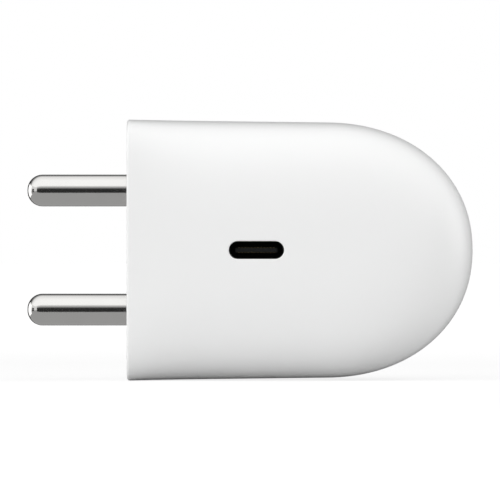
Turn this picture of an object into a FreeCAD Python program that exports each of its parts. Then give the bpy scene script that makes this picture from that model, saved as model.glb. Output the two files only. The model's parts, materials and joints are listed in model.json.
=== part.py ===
import FreeCAD, Part
import math
import os
import re
import Sketcher

# A plug-in wall adapter with two fixed round pins and a USB-C socket in its broad face.
# Millimetres. The origin is the middle of the pin face, between the pins. The pins point to -X,
# the rounded nose to +X, the socket faces -Y, and the pins stand one above the other along Z.

V = FreeCAD.Vector
doc = FreeCAD.newDocument("power_adapter")
sheet = doc.addObject("Spreadsheet::Sheet", "sizes")

SIZES = {
    # Moulded skin: straight sides with a little draft, a superellipse nose, a crowned face
    "bodyLength": 55.0,
    "bodyHeight": 41.5,
    "bodyThick": 28.0,
    "sideDraft": 0.0118,
    "noseStart": 31.8,
    "nosePower": 2.13,
    "facePower": 7.5,
    "crownPower": 3.7,
    "powerFade": 4.0,
    "crestShare": 0.012,
    "wallThick": 2.2,
    "rimWall": 1.2,
    "rimRound": 0.4,
    # End plate and the round pins of a 5 A plug
    "plateThick": 2.0,
    "seamGap": 0.06,
    "bossRadius": 4.7,
    "bossReach": 5.0,
    "pinRadius": 2.54,
    "pinSpacing": 19.05,
    "pinReach": 16.1,
    "pinTipRound": 2.4,
    "pinEntry": 0.1,
    "entryDepth": 0.6,
    "shankRadius": 2.3,
    "collarRadius": 3.3,
    "collarThick": 1.3,
    "tailRadius": 1.5,
    "tailReach": 8.6,
    "boreGap": 0.05,
    "carrierThick": 1.6,
    "stripThick": 0.5,
    "stripWide": 3.2,
    # USB-C socket
    "portCentre": 20.5,
    "portWide": 8.72,
    "portHigh": 2.8,
    "portLip": 0.8,
    "shellWide": 8.94,
    "shellHigh": 3.26,
    "mouthWide": 8.34,
    "mouthHigh": 2.56,
    "shellLong": 7.35,
    "tongueWide": 6.69,
    "tongueThick": 0.7,
    "tongueSetBack": 0.95,
    "tongueRoot": 6.15,
    "contactPitch": 0.5,
    "contactWide": 0.25,
    "contactThick": 0.08,
    # Boards
    "boardFront": 6.8,
    "boardThick": 1.2,
    "boardStart": 9.0,
    "boardHalf": 16.2,
    "outBoardTop": -1.65,
    "outBoardThick": 1.0,
    "outBoardStart": 11.0,
    "outBoardEnd": 30.6,
    "tabWide": 2.5,
    "sheetFront": 9.95,
    "sheetThick": 0.25,
    "sheetHalf": 14.2,
    # Mains side
    "canRadius": 5.0,
    "canTop": -8.4,
    "canFirst": 16.0,
    "canStep": 10.6,
    "canHeight": 9.4,
    "chokeCentre": 21.5,
    "chokeLevel": 12.0,
    "chokeDepth": 0.6,
    "chokeOuter": 4.5,
    "chokeInner": 2.6,
    "chokeHalf": 1.8,
    "windingThick": 0.8,
    # Transformer
    "coreCentre": 39.6,
    "coreHalf": 4.75,
    "coreSpan": 9.5,
    "coreMiddle": -0.4,
    "coreRise": 7.0,
    "coreBack": 2.2,
    "coreLeg": 2.0,
    "postHalf": 3.2,
    "tubeWall": 0.6,
    "flangeThick": 0.7,
    "flangeX": 7.6,
    "flangeZ": 7.3,
    "primaryThick": 1.0,
    "secondaryThick": 0.7,
    "tapeThick": 0.15,
    "fitGap": 0.05,
}
for row, (alias, value) in enumerate(SIZES.items(), start=1):
    sheet.set("A%d" % row, alias)
    sheet.set("B%d" % row, str(value))
    sheet.setAlias("B%d" % row, alias)
doc.recompute()

NODES = []


def cell(alias):
    """The number in one cell of the sheet."""
    return float(getattr(sheet, alias))


def rule(formula):
    """A formula whose words are cells of the sheet, as an expression."""
    return re.sub(r"[A-Za-z]\w+", r"sizes.\g<0>", str(formula))


def bind(target, formulas):
    """Tie properties of an object to formulas of the sheet's cells."""
    for name, formula in formulas.items():
        target.setExpression(name, rule(formula))


def keep(item, label):
    """Name a finished sub-part. Its label names its file."""
    item.Label = label
    NODES.append(item)
    return item


# Primitives and booleans


def primitive(kind, name, sizes, place, turn=None):
    """A Part primitive with sizes and place from formulas. turn is (axis, degrees)."""
    item = doc.addObject("Part::" + kind, name)
    if turn:
        item.Placement = FreeCAD.Placement(V(0, 0, 0), FreeCAD.Rotation(*turn))
    bind(item, sizes)
    bind(item, {"Placement.Base." + axis: formula for axis, formula in zip("xyz", place)})
    return item


def block(name, x, y, z):
    """A box from its lowest and highest formula along each axis."""
    sizes = {}
    for side, (low, high) in zip(("Length", "Width", "Height"), (x, y, z)):
        sizes[side] = "(%s) - (%s)" % (high, low)
    return primitive("Box", name, sizes, (x[0], y[0], z[0]))


TURNS = {"x": (V(0, 1, 0), 90), "y": (V(1, 0, 0), -90), "z": None}


def rod(name, radius, along, low, high, across):
    """A cylinder along one axis, from low to high, at the other two axes' formulas."""
    place = dict(zip([axis for axis in "xyz" if axis != along], across))
    place[along] = low
    sizes = {"Radius": radius, "Height": "(%s) - (%s)" % (high, low)}
    return primitive("Cylinder", name, sizes, [place[axis] for axis in "xyz"], TURNS[along])


def cut(name, base, tool):
    """base with tool taken away."""
    item = doc.addObject("Part::Cut", name)
    item.Base = base
    item.Tool = tool
    return item


def fuse(name, shapes):
    """Shapes joined into one."""
    item = doc.addObject("Part::MultiFuse", name)
    item.Shapes = shapes
    return item


def group(name, pieces):
    """Alike but separate solids that share one node."""
    item = doc.addObject("Part::Compound", name)
    item.Links = pieces
    return item


# Bodies and their sketches


def new_body(label):
    """An empty body that is kept under its own name."""
    return keep(doc.addObject("PartDesign::Body", label), label)


def new_sketch(body, plane, level, name):
    """A sketch on one of the body's origin planes, moved along that plane's axis to a level."""
    support = [item for item in body.Origin.OriginFeatures if item.Role == plane + "_Plane"]
    sketch = body.newObject("Sketcher::SketchObject", name)
    sketch.AttachmentSupport = [(support[0], "")]
    sketch.MapMode = "FlatFace"
    # The XZ plane's normal is -Y, so a level along Y counts backwards on it
    offset = "-(%s)" % level if plane == "XZ" else level
    bind(sketch, {"AttachmentOffset.Base.z": offset})
    return sketch


def hold_distance(sketch, kind, curve, end, formula, drawn):
    """Hold a point's DistanceX or DistanceY from the origin, first where it is drawn."""
    index = sketch.addConstraint(Sketcher.Constraint(kind, -1, 1, curve, end, drawn))
    sketch.setExpression("Constraints[%d]" % index, rule(formula))


def pin_point(sketch, curve, end, across, up, drawn=(1.0, 1.0)):
    """Hold one point of a curve at formulas across and up from the sketch's origin."""
    hold_distance(sketch, "DistanceX", curve, end, across, drawn[0])
    hold_distance(sketch, "DistanceY", curve, end, up, drawn[1])


def hold_radius(sketch, curve, formula):
    """Hold the radius of a circle or an arc at a formula."""
    index = sketch.addConstraint(Sketcher.Constraint("Radius", curve, 1.0))
    sketch.setExpression("Constraints[%d]" % index, rule(formula))


def polygon(sketch, corners):
    """Straight edges through corners, each a pair of formulas."""
    count = len(corners)
    first = sketch.GeometryCount
    spots = [V(math.cos(2 * math.pi * i / count), math.sin(2 * math.pi * i / count), 0) for i in range(count)]
    for i in range(count):
        sketch.addGeometry(Part.LineSegment(spots[i], spots[(i + 1) % count]), False)
    for i in range(count):
        sketch.addConstraint(Sketcher.Constraint("Coincident", first + i, 2, first + (i + 1) % count, 1))
    for i, (across, up) in enumerate(corners):
        pin_point(sketch, first + i, 1, across, up)


def rectangle(sketch, across, up):
    """A rectangle from its low and high formulas across and up."""
    polygon(sketch, [(across[0], up[0]), (across[1], up[0]), (across[1], up[1]), (across[0], up[1])])


def circle(sketch, across, up, radius):
    """A circle with its centre and radius held by formulas."""
    index = sketch.addGeometry(Part.Circle(V(0, 0, 0), V(0, 0, 1), 1.0), False)
    pin_point(sketch, index, 3, across, up)
    hold_radius(sketch, index, radius)


def stadium(sketch, centre, wide, high):
    """A slot with round ends, lying across the sketch at height zero."""
    first = sketch.GeometryCount
    ring = Part.Circle(V(2, 0, 0), V(0, 0, 1), 1.0)
    sketch.addGeometry(Part.LineSegment(V(-2, -1, 0), V(2, -1, 0)), False)
    sketch.addGeometry(Part.ArcOfCircle(ring, -math.pi / 2, math.pi / 2), False)
    sketch.addGeometry(Part.LineSegment(V(2, 1, 0), V(-2, 1, 0)), False)
    ring = Part.Circle(V(-2, 0, 0), V(0, 0, 1), 1.0)
    sketch.addGeometry(Part.ArcOfCircle(ring, math.pi / 2, 3 * math.pi / 2), False)
    for line, arc, line_end, arc_end in ((0, 1, 2, 1), (2, 1, 1, 2), (2, 3, 2, 1), (0, 3, 1, 2)):
        ends = (first + line, line_end, first + arc, arc_end)
        sketch.addConstraint(Sketcher.Constraint("Tangent", *ends))
    sketch.addConstraint(Sketcher.Constraint("Equal", first + 1, first + 3))
    hold_radius(sketch, first + 1, "(%s) / 2" % high)
    for arc, sign in ((1, "+"), (3, "-")):
        middle = "(%s) %s ((%s) - (%s)) / 2" % (centre, sign, wide, high)
        pin_point(sketch, first + arc, 3, middle, "0", (float(sign + "2"), 0.0))


def d_outline(sketch, start, radius):
    """A board's outline: a flat end at start, and a half circle about the nose's start."""
    first = sketch.GeometryCount
    ring = Part.Circle(V(2, 0, 0), V(0, 0, 1), 1.0)
    sketch.addGeometry(Part.LineSegment(V(0, -1, 0), V(2, -1, 0)), False)
    sketch.addGeometry(Part.ArcOfCircle(ring, -math.pi / 2, math.pi / 2), False)
    sketch.addGeometry(Part.LineSegment(V(2, 1, 0), V(0, 1, 0)), False)
    sketch.addGeometry(Part.LineSegment(V(0, 1, 0), V(0, -1, 0)), False)
    sketch.addConstraint(Sketcher.Constraint("Tangent", first, 2, first + 1, 1))
    sketch.addConstraint(Sketcher.Constraint("Tangent", first + 1, 2, first + 2, 1))
    sketch.addConstraint(Sketcher.Constraint("Coincident", first + 2, 2, first + 3, 1))
    sketch.addConstraint(Sketcher.Constraint("Coincident", first + 3, 2, first, 1))
    sketch.addConstraint(Sketcher.Constraint("Horizontal", first))
    sketch.addConstraint(Sketcher.Constraint("Horizontal", first + 2))
    pin_point(sketch, first + 1, 3, "noseStart", "0", (2.0, 0.0))
    hold_radius(sketch, first + 1, radius)
    hold_distance(sketch, "DistanceX", first, 1, start, 0.0)
    hold_distance(sketch, "DistanceX", first + 2, 2, start, 0.0)


def pad(body, sketch, length):
    """Raise a sketch by a formula's length along its plane's normal."""
    feature = body.newObject("PartDesign::Pad", sketch.Name + "_pad")
    feature.Profile = sketch
    bind(feature, {"Length": length})
    return feature


def pocket(body, sketch, depth):
    """Cut a sketch by a formula's depth, along its plane's normal."""
    feature = body.newObject("PartDesign::Pocket", sketch.Name + "_pocket")
    feature.Profile = sketch
    feature.Reversed = True
    bind(feature, {"Length": depth})
    return feature


# The moulded skin


def squareness(x):
    """Power of the section: squarer at the pin face, rounder within a few millimetres of it."""
    extra = cell("facePower") - cell("crownPower")
    return cell("crownPower") + extra * math.exp(-x / cell("powerFade"))


def rounded_square(power, angle):
    """Point of |a|^power + |b|^power = 1 in the direction of an angle."""
    a, b = math.cos(angle), math.sin(angle)
    reach = (abs(a) ** power + abs(b) ** power) ** (-1 / power)
    return reach * a, reach * b


def half_height(x, inset):
    """Half height of the skin at x, or of a skin that lies inset from it."""
    return cell("bodyHeight") / 2 - cell("sideDraft") * x - inset


def stations(start, inset):
    """Places along the upper half of the outline, from the open end to the nose's tip.

    Each is (x of the point that the outline shrinks to, reach from there along X, height).
    """
    straight, bend = 14, 20
    nose = cell("noseStart")
    places = []
    for i in range(straight):
        x = start + (nose - start) * (i / straight) ** 1.5
        places.append((x, 0.0, half_height(x, inset)))
    for i in range(bend + 1):
        up, along = rounded_square(cell("nosePower"), math.pi / 2 * i / bend)
        reach = along * (cell("bodyLength") - inset - nose)
        places.append((nose, reach, up * half_height(nose + reach, inset)))
    return places


def crosswise():
    """Angles across the skin, closer together at the crests, corners and sides."""
    steps, gather = 28, 0.55
    angles = []
    for i in range(-steps, steps + 1):
        share = i / steps
        angles.append(math.pi / 2 * (share - gather * math.sin(4 * math.pi * share) / (4 * math.pi)))
    return angles


def skin_point(place, side, angle, inset):
    """A point of the skin at one station, on the upper (1) or lower (-1) side."""
    x, reach, height = place
    across, depth = rounded_square(squareness(x), angle)
    if abs(angle) > math.pi / 2 - 1e-9:
        # The crest ends in a narrow flat, so that the surface has no point where it folds
        across, depth = cell("crestShare"), math.copysign(1, angle)
    across = max(across, cell("crestShare"))
    half_thick = cell("bodyThick") / 2 - inset
    return V(x + across * reach, depth * half_thick, side * across * height)


def marks_along(points):
    """Shares of the whole way at which each point is passed."""
    way = [0.0]
    for here, after in zip(points, points[1:]):
        way.append(way[-1] + here.distanceToPoint(after))
    return [step / way[-1] for step in way]


def spline_through(points, marks):
    """The cubic spline that passes each point at its mark."""
    curve = Part.BSplineCurve()
    curve.interpolate(Points=points, Parameters=marks)
    return curve


def surface_through(grid):
    """The bicubic surface through a grid of points: along each row, then across the rows' poles."""
    middle = len(grid[0]) // 2
    row_marks = marks_along(grid[len(grid) // 4])
    column_marks = marks_along([row[middle] for row in grid])
    rows = [spline_through(row, row_marks) for row in grid]
    columns = []
    for poles in zip(*[row.getPoles() for row in rows]):
        columns.append(spline_through(list(poles), column_marks))
    surface = Part.BSplineSurface()
    surface.buildFromPolesMultsKnots(
        [list(poles) for poles in zip(*[column.getPoles() for column in columns])],
        columns[0].getMultiplicities(), rows[0].getMultiplicities(),
        columns[0].getKnots(), rows[0].getKnots(), False, False, 3, 3)
    return surface


def skin_solid(start, inset):
    """The crowned D-shaped solid, cut off flat at x = start."""
    upper = stations(start, inset)
    ring = [(place, 1) for place in upper] + [(place, -1) for place in reversed(upper[:-1])]
    grid = [[skin_point(place, side, angle, inset) for angle in crosswise()] for place, side in ring]
    side_face = surface_through(grid).toShape()
    ends = [edge for edge in side_face.Edges if edge.CenterOfMass.x < start + 0.01]
    crests = [edge for edge in side_face.Edges if edge.CenterOfMass.x > start + 0.01]
    bridges = []
    faces = [side_face]
    for crest in crests:
        bridge = Part.makeLine(crest.firstVertex().Point, crest.lastVertex().Point)
        bridges.append(bridge)
        faces.append(Part.Face(Part.Wire(Part.__sortEdges__([crest, bridge]))))
    faces.append(Part.Face(Part.Wire(Part.__sortEdges__(ends + bridges))))
    shell = Part.makeShell(faces)
    shell.sewShape()
    solid = Part.makeSolid(shell)
    if solid.Volume < 0:
        solid.reverse()
    return solid


def rim_outline(inset, x):
    """Closed outline of the section at x, lying inset from the skin, as a face at x = 0."""
    power = squareness(x)
    tall = half_height(x, inset)
    deep = cell("bodyThick") / 2 - inset
    spots = []
    for i in range(64):
        up, across = rounded_square(power, 2 * math.pi * i / 64)
        spots.append(V(0, across * deep, up * tall))
    curve = Part.BSplineCurve()
    curve.interpolate(Points=spots, PeriodicFlag=True)
    return Part.Face(Part.Wire(curve.toShape()))


def shape_feature(name, shape, place=None):
    """A plain feature that holds a shape worked out from the sheet's cells."""
    item = doc.addObject("Part::Feature", name)
    item.Shape = shape
    item.Placement = FreeCAD.Placement(place or V(0, 0, 0), FreeCAD.Rotation())
    return item


def slot_tool(name, wide, high, low, high_y):
    """A slot-shaped cutter along Y, centred on the port."""
    sketch = doc.addObject("Sketcher::SketchObject", name + "_outline")
    sketch.Placement = FreeCAD.Placement(V(0, 0, 0), FreeCAD.Rotation(V(1, 0, 0), 90))
    stadium(sketch, "portCentre", wide, high)
    tool = doc.addObject("Part::Extrusion", name)
    tool.Base = sketch
    tool.DirMode = "Custom"
    tool.Dir = V(0, 1, 0)
    tool.Solid = True
    bind(tool, {"LengthFwd": high_y, "LengthRev": "-(%s)" % low})
    return tool


def make_housing():
    """The tub: skin less cavity, with board ribs on the back wall and a shroud round the port."""
    sharp = shape_feature("skin", skin_solid(0.0, 0.0))
    outer = doc.addObject("Part::Fillet", "skin_with_soft_rim")
    outer.Base = sharp
    rim = [i for i, edge in enumerate(sharp.Shape.Edges, start=1) if edge.CenterOfMass.x < 0.01]
    outer.Edges = [(i, cell("rimRound"), cell("rimRound")) for i in rim]
    cavity = shape_feature("cavity", skin_solid(cell("plateThick") / 2, cell("wallThick")))
    seat = rim_outline(cell("rimWall"), cell("plateThick")).extrude(V(cell("plateThick") + 1, 0, 0))
    rebate = shape_feature("plate_seat", seat, V(-1, 0, 0))
    tub = cut("tub", cut("tub_blank", outer, cavity), rebate)
    extras = []
    for name, level in (("upper_rib", "10"), ("lower_rib", "-10")):
        high = "bodyThick / 2 - 1.4"
        thick = ("%s - 0.6" % level, "%s + 0.6" % level)
        extras.append(block(name, ("boardStart", "44"), ("sheetFront + 0.35", high), thick))
    reach = "(shellWide + 2.6) / 2"
    along = ("portCentre - %s" % reach, "portCentre + %s" % reach)
    tall = ("-(shellHigh / 2 + 1.3)", "shellHigh / 2 + 1.3")
    extras.append(block("port_shroud", along, ("-bodyThick / 2 + 1.2", "-bodyThick / 2 + 3.2"), tall))
    whole = fuse("tub_with_ribs", [tub] + extras)
    mouth = slot_tool("port_mouth", "portWide", "portHigh", "-bodyThick", "-bodyThick / 4")
    room = slot_tool("port_room", "shellWide + 0.3", "shellHigh + 0.3", "-bodyThick / 2 + portLip", "0")
    keep(cut("housing", cut("tub_with_mouth", whole, mouth), room), "housing")


def make_pin_plate():
    """The end cap: it drops into the rim's seat and carries both pins in bossed, stepped bores."""
    blank = rim_outline(cell("rimWall") + cell("seamGap"), cell("plateThick"))
    plate = shape_feature("plate_blank", blank.extrude(V(cell("plateThick"), 0, 0)))
    bosses = []
    bores = []
    for name, level in (("upper", "pinSpacing / 2"), ("lower", "-pinSpacing / 2")):
        spot = ("0", level)
        bosses.append(rod(name + "_boss", "bossRadius", "x", "plateThick - 0.5", "bossReach", spot))
        entry = "pinRadius + boreGap"
        bores.append(rod(name + "_entry", entry, "x", "-1", "entryDepth", spot))
        bores.append(rod(name + "_bore", "shankRadius + boreGap", "x", "0", "plateThick + 1", spot))
        socket = "collarRadius + 2 * boreGap"
        bores.append(rod(name + "_socket", socket, "x", "plateThick", "bossReach + 1", spot))
    keep(cut("pin_plate", fuse("plate_solid", [plate] + bosses), fuse("plate_bores", bores)), "pin_plate")


def make_pin(label, level):
    """A turned pin: round-tipped prong, shank through the plate, collar behind it, thin tail."""
    body = new_body(label)
    sketch = new_sketch(body, "XY", "0", label + "_profile")
    collar = "plateThick + boreGap"
    polygon(sketch, [
        ("-pinReach", "0"),
        ("-pinReach", "pinRadius"),
        ("pinEntry", "pinRadius"),
        ("pinEntry", "shankRadius"),
        (collar, "shankRadius"),
        (collar, "collarRadius"),
        (collar + " + collarThick", "collarRadius"),
        (collar + " + collarThick", "tailRadius"),
        ("tailReach", "tailRadius"),
        ("tailReach", "0"),
    ])
    turned = body.newObject("PartDesign::Revolution", label + "_turned")
    turned.Profile = sketch
    turned.ReferenceAxis = (sketch, ["H_Axis"])
    turned.Angle = 360
    doc.recompute()
    tips = []
    for i, edge in enumerate(turned.Shape.Edges, start=1):
        box = edge.BoundBox
        if box.XMax < -cell("pinReach") + 0.01 and box.YLength > cell("pinRadius"):
            tips.append("Edge%d" % i)
    tip = body.newObject("PartDesign::Fillet", label + "_tip")
    tip.Base = (turned, tips)
    bind(tip, {"Radius": "pinTipRound"})
    bind(body, {"Placement.Base.z": level})


def make_pin_carrier():
    """The clamp: plugs that press the pins' collars home, on a bar across the end plate."""
    body = new_body("pin_carrier")
    levels = ("pinSpacing / 2", "-pinSpacing / 2")
    front = "bossReach + boreGap"
    bar = new_sketch(body, "YZ", front, "carrier_bar")
    rectangle(bar, ("-5", "5"), ("-14", "14"))
    for level in levels:
        circle(bar, "0", level, "tailRadius + boreGap")
    pad(body, bar, "carrierThick")
    plugs = new_sketch(body, "YZ", "plateThick + collarThick + 3 * boreGap", "carrier_plugs")
    for level in levels:
        circle(plugs, "0", level, "collarRadius")
        circle(plugs, "0", level, "tailRadius + boreGap")
    pad(body, plugs, "bossReach - plateThick - collarThick - boreGap")


def make_contact(label, level):
    """A brass strip from a pin's tail to its pad on the main board."""
    body = new_body(label)
    sketch = new_sketch(body, "XY", "(%s) - stripWide / 2" % level, label + "_strip")
    near = "bossReach + carrierThick + 0.5"
    foot = "boardFront - stripThick"
    polygon(sketch, [
        (near, "-2.4"),
        (near + " + stripThick", "-2.4"),
        (near + " + stripThick", foot),
        ("boardStart + 2.6", foot),
        ("boardStart + 2.6", "boardFront"),
        (near, "boardFront"),
    ])
    pad(body, sketch, "stripWide")
    hole = new_sketch(body, "YZ", near, label + "_hole")
    circle(hole, "0", level, "tailRadius")
    pocket(body, hole, "stripThick")


# The USB-C socket

MOUTH = "-bodyThick / 2 + portLip + 0.05"
LEG_STARTS = ("2.9", "5.7")


def make_socket_shell():
    """The drawn steel shell, with four legs for the output board."""
    body = new_body("usb_c_shell")
    tube = new_sketch(body, "XZ", MOUTH + " + shellLong", "shell_tube")
    stadium(tube, "portCentre", "shellWide", "shellHigh")
    stadium(tube, "portCentre", "mouthWide", "mouthHigh")
    pad(body, tube, "shellLong")
    legs = new_sketch(body, "XY", "outBoardTop - outBoardThick - 0.3", "shell_legs")
    wall = "(shellWide - mouthWide) / 2"
    for side in ("-", "+"):
        for start in LEG_STARTS:
            edge = "portCentre %s shellWide / 2" % side
            inner = "%s %s %s" % (edge, "+" if side == "-" else "-", wall)
            across = (edge, inner) if side == "-" else (inner, edge)
            rectangle(legs, across, ("%s + %s" % (MOUTH, start), "%s + %s + 1.1" % (MOUTH, start)))
    pad(body, legs, "outBoardThick + 0.3 - outBoardTop - 0.3")


def make_tongue():
    """The socket's tongue: a thin plate on a thicker root, slotted for its mid plate."""
    body = new_body("usb_c_tongue")
    tip = MOUTH + " + tongueSetBack"
    root = MOUTH + " + tongueRoot"
    half = "tongueWide / 2"
    across = ("portCentre - " + half, "portCentre + " + half)
    blade = new_sketch(body, "XZ", root, "tongue_blade")
    rectangle(blade, across, ("-tongueThick / 2", "tongueThick / 2"))
    rectangle(blade, ("portCentre - 2.7", "portCentre + 2.7"), ("-0.08", "0.08"))
    pad(body, blade, "tongueRoot - tongueSetBack - 0.7")
    nose = new_sketch(body, "XZ", tip + " + 0.7", "tongue_tip")
    rectangle(nose, across, ("-tongueThick / 2", "tongueThick / 2"))
    pad(body, nose, "0.7")
    step = new_sketch(body, "XZ", root, "tongue_step")
    rectangle(step, across, ("tongueThick / 2 - 0.05", "tongueThick / 2 + 0.3"))
    rectangle(step, across, ("-tongueThick / 2 - 0.3", "-tongueThick / 2 + 0.05"))
    pad(body, step, "1.2")


def make_socket_contacts():
    """Twelve gilt contacts on each face of the tongue, and the steel plate inside it."""
    for label, side in (("usb_c_upper_contacts", 1), ("usb_c_lower_contacts", -1)):
        strips = []
        for i in range(12):
            middle = "portCentre + contactPitch * (%d - 5.5)" % i
            across = (middle + " - contactWide / 2", middle + " + contactWide / 2")
            along = (MOUTH + " + tongueSetBack + 0.5", MOUTH + " + tongueRoot - 1.3")
            low, high = "tongueThick / 2", "tongueThick / 2 + contactThick"
            tall = (low, high) if side > 0 else ("-(%s)" % high, "-(%s)" % low)
            strips.append(block("%s_%d" % (label, i), across, along, tall))
        keep(group(label, strips), label)
    across = ("portCentre - 2.6", "portCentre + 2.6")
    along = (MOUTH + " + tongueSetBack + 0.8", MOUTH + " + tongueRoot")
    keep(block("mid_plate", across, along, ("-0.07", "0.07")), "usb_c_mid_plate")


def make_rear_block():
    """The moulded block that closes the shell behind the tongue."""
    body = new_body("usb_c_rear_block")
    sketch = new_sketch(body, "XZ", MOUTH + " + shellLong", "rear_block_outline")
    stadium(sketch, "portCentre", "mouthWide - 0.06", "mouthHigh - 0.06")
    pad(body, sketch, "shellLong - tongueRoot - fitGap")


# Boards

LEADS = [
    # x, z and the level at which each lead starts under its component
    ("canFirst - 2.5", "-canHeight", "boardFront - 0.5"),
    ("canFirst + 2.5", "-canHeight", "boardFront - 0.5"),
    ("canFirst + canStep - 2.5", "-canHeight", "boardFront - 0.5"),
    ("canFirst + canStep + 2.5", "-canHeight", "boardFront - 0.5"),
    ("18", "5.9", "boardFront - 0.1"),
    ("28", "5.9", "boardFront - 0.1"),
    ("28.4", "10", "boardFront - 0.3"),
    ("29.8", "14", "boardFront - 0.3"),
    ("36.5", "12.3", "boardFront - 0.4"),
    ("41.5", "12.3", "boardFront - 0.4"),
]
LEAD_RADIUS = "0.3"
TAB_STARTS = ("13.5", "26")


def make_boards():
    """The main board lies flat at the back. The output board stands square to it, on two tabs."""
    body = new_body("main_board")
    outline = new_sketch(body, "XZ", "boardFront + boardThick", "main_board_outline")
    d_outline(outline, "boardStart", "boardHalf")
    for x, z, _ in LEADS:
        circle(outline, x, z, LEAD_RADIUS + " + 0.1")
    for x, z in transformer_pin_spots():
        circle(outline, x, z, "0.5")
    slot_z = ("outBoardTop - outBoardThick - fitGap", "outBoardTop + fitGap")
    for start in TAB_STARTS:
        rectangle(outline, (start + " - fitGap", start + " + tabWide + fitGap"), slot_z)
    rectangle(outline, ("32.2", "33.2"), ("-15", "-11"))
    pad(body, outline, "boardThick")

    body = new_body("output_board")
    outline = new_sketch(body, "XY", "outBoardTop - outBoardThick", "output_board_outline")
    front, back, deep = "-bodyThick / 2 + 3.25", "boardFront - fitGap", "boardFront + boardThick"
    corners = [("outBoardStart", front), ("outBoardEnd", front), ("outBoardEnd", back)]
    for start in reversed(TAB_STARTS):
        right = start + " + tabWide"
        corners += [(right, back), (right, deep), (start, deep), (start, back)]
    corners.append(("outBoardStart", back))
    polygon(outline, corners)
    for side in ("-", "+"):
        for start in LEG_STARTS:
            edge = "portCentre %s shellWide / 2" % side
            low, high = ("0.1", "0.4") if side == "-" else ("0.4", "0.1")
            across = ("%s - %s" % (edge, low), "%s + %s" % (edge, high))
            rectangle(outline, across, ("%s + %s - 0.1" % (MOUTH, start), "%s + %s + 1.2" % (MOUTH, start)))
    pad(body, outline, "outBoardThick")

    body = new_body("insulation_sheet")
    outline = new_sketch(body, "XZ", "sheetFront + sheetThick", "insulation_outline")
    d_outline(outline, "boardStart", "sheetHalf")
    pad(body, outline, "sheetThick")


def make_leads():
    """Wire leads of the through-hole parts, from each part through its hole in the board."""
    wires = []
    for i, (x, z, start) in enumerate(LEADS):
        end = "boardFront + boardThick + 0.5"
        wires.append(rod("lead_%d" % i, LEAD_RADIUS, "y", start, end, (x, z)))
    keep(group("component_leads", wires), "component_leads")


# Mains side


def make_bulk_capacitors():
    """Two electrolytic cans with a rolled bead, each closed by a rubber seal."""
    cans = []
    seals = []
    for i in range(2):
        x = "canFirst + canStep * %d" % i
        spot = (x, "-canHeight")
        mouth = "boardFront - 1.4"
        can = rod("can_blank_%d" % i, "canRadius", "y", "canTop", mouth, spot)
        sizes = {"Radius1": "canRadius + 0.2", "Radius2": "0.6"}
        place = (x, mouth + " - 1.6", "-canHeight")
        bead = primitive("Torus", "can_bead_%d" % i, sizes, place, TURNS["y"])
        cans.append(cut("can_%d" % i, can, bead))
        seals.append(rod("seal_%d" % i, "canRadius - 0.6", "y", mouth, "boardFront - 0.5", spot))
    keep(group("bulk_capacitor_cans", cans), "bulk_capacitor_cans")
    keep(group("bulk_capacitor_seals", seals), "bulk_capacitor_seals")


def make_fuse():
    """A tubular fuse lying along Z: its ceramic tube and two pressed end caps."""
    spot = ("13.8", "boardFront - 2.2")
    keep(rod("fuse_body", "1.75", "z", "2", "10.2", spot), "fuse_body")
    caps = []
    for name, low, high in (("lower", "1.7", "3.6"), ("upper", "8.6", "10.5")):
        blank = rod(name + "_cap_blank", "2.05", "z", low, high, spot)
        caps.append(cut(name + "_cap", blank, rod(name + "_cap_bore", "1.77", "z", "2", "10.2", spot)))
    keep(group("fuse_caps", caps), "fuse_caps")


def make_choke():
    """A ring core with one winding on each side, standing on a small base."""
    spot = ("chokeCentre", "chokeDepth")
    low, high = "chokeLevel - chokeHalf", "chokeLevel + chokeHalf"
    ring = rod("choke_ring", "chokeOuter", "z", low, high, spot)
    keep(cut("choke_core", ring, rod("choke_hole", "chokeInner", "z", low, high, spot)), "choke_core")
    coils = []
    for name, turn in (("left", 110), ("right", -70)):
        coil = doc.addObject("Sketcher::SketchObject", name + "_coil_section")
        coil.Placement = FreeCAD.Placement(V(0, 0, 0), FreeCAD.Rotation(V(1, 0, 0), 90))
        for grow in ("windingThick", "fitGap"):
            across = ("chokeInner - " + grow, "chokeOuter + " + grow)
            rectangle(coil, across, ("-chokeHalf - " + grow, "chokeHalf + " + grow))
        winding = doc.addObject("Part::Revolution", name + "_winding")
        winding.Source = coil
        winding.Axis = V(0, 0, 1)
        winding.Base = V(0, 0, 0)
        winding.Angle = 140
        winding.Solid = True
        winding.Placement = FreeCAD.Placement(V(0, 0, 0), FreeCAD.Rotation(V(0, 0, 1), turn))
        place = ("chokeCentre", "chokeDepth", "chokeLevel")
        bind(winding, {"Placement.Base." + axis: formula for axis, formula in zip("xyz", place)})
        coils.append(winding)
    keep(group("choke_windings", coils), "choke_windings")
    reach = "chokeOuter + windingThick"
    along = ("chokeCentre - %s" % reach, "chokeCentre + %s" % reach)
    up = ("chokeLevel - chokeHalf - windingThick", "chokeLevel + chokeHalf + windingThick")
    base = ("chokeDepth + %s + fitGap" % reach, "boardFront - fitGap")
    keep(block("choke_base", along, base, up), "choke_base")


def rounded(name, base, radius):
    """base with every edge rounded."""
    item = doc.addObject("Part::Fillet", name)
    item.Base = base
    doc.recompute()
    item.Edges = [(i + 1, radius, radius) for i in range(len(base.Shape.Edges))]
    return item


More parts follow.
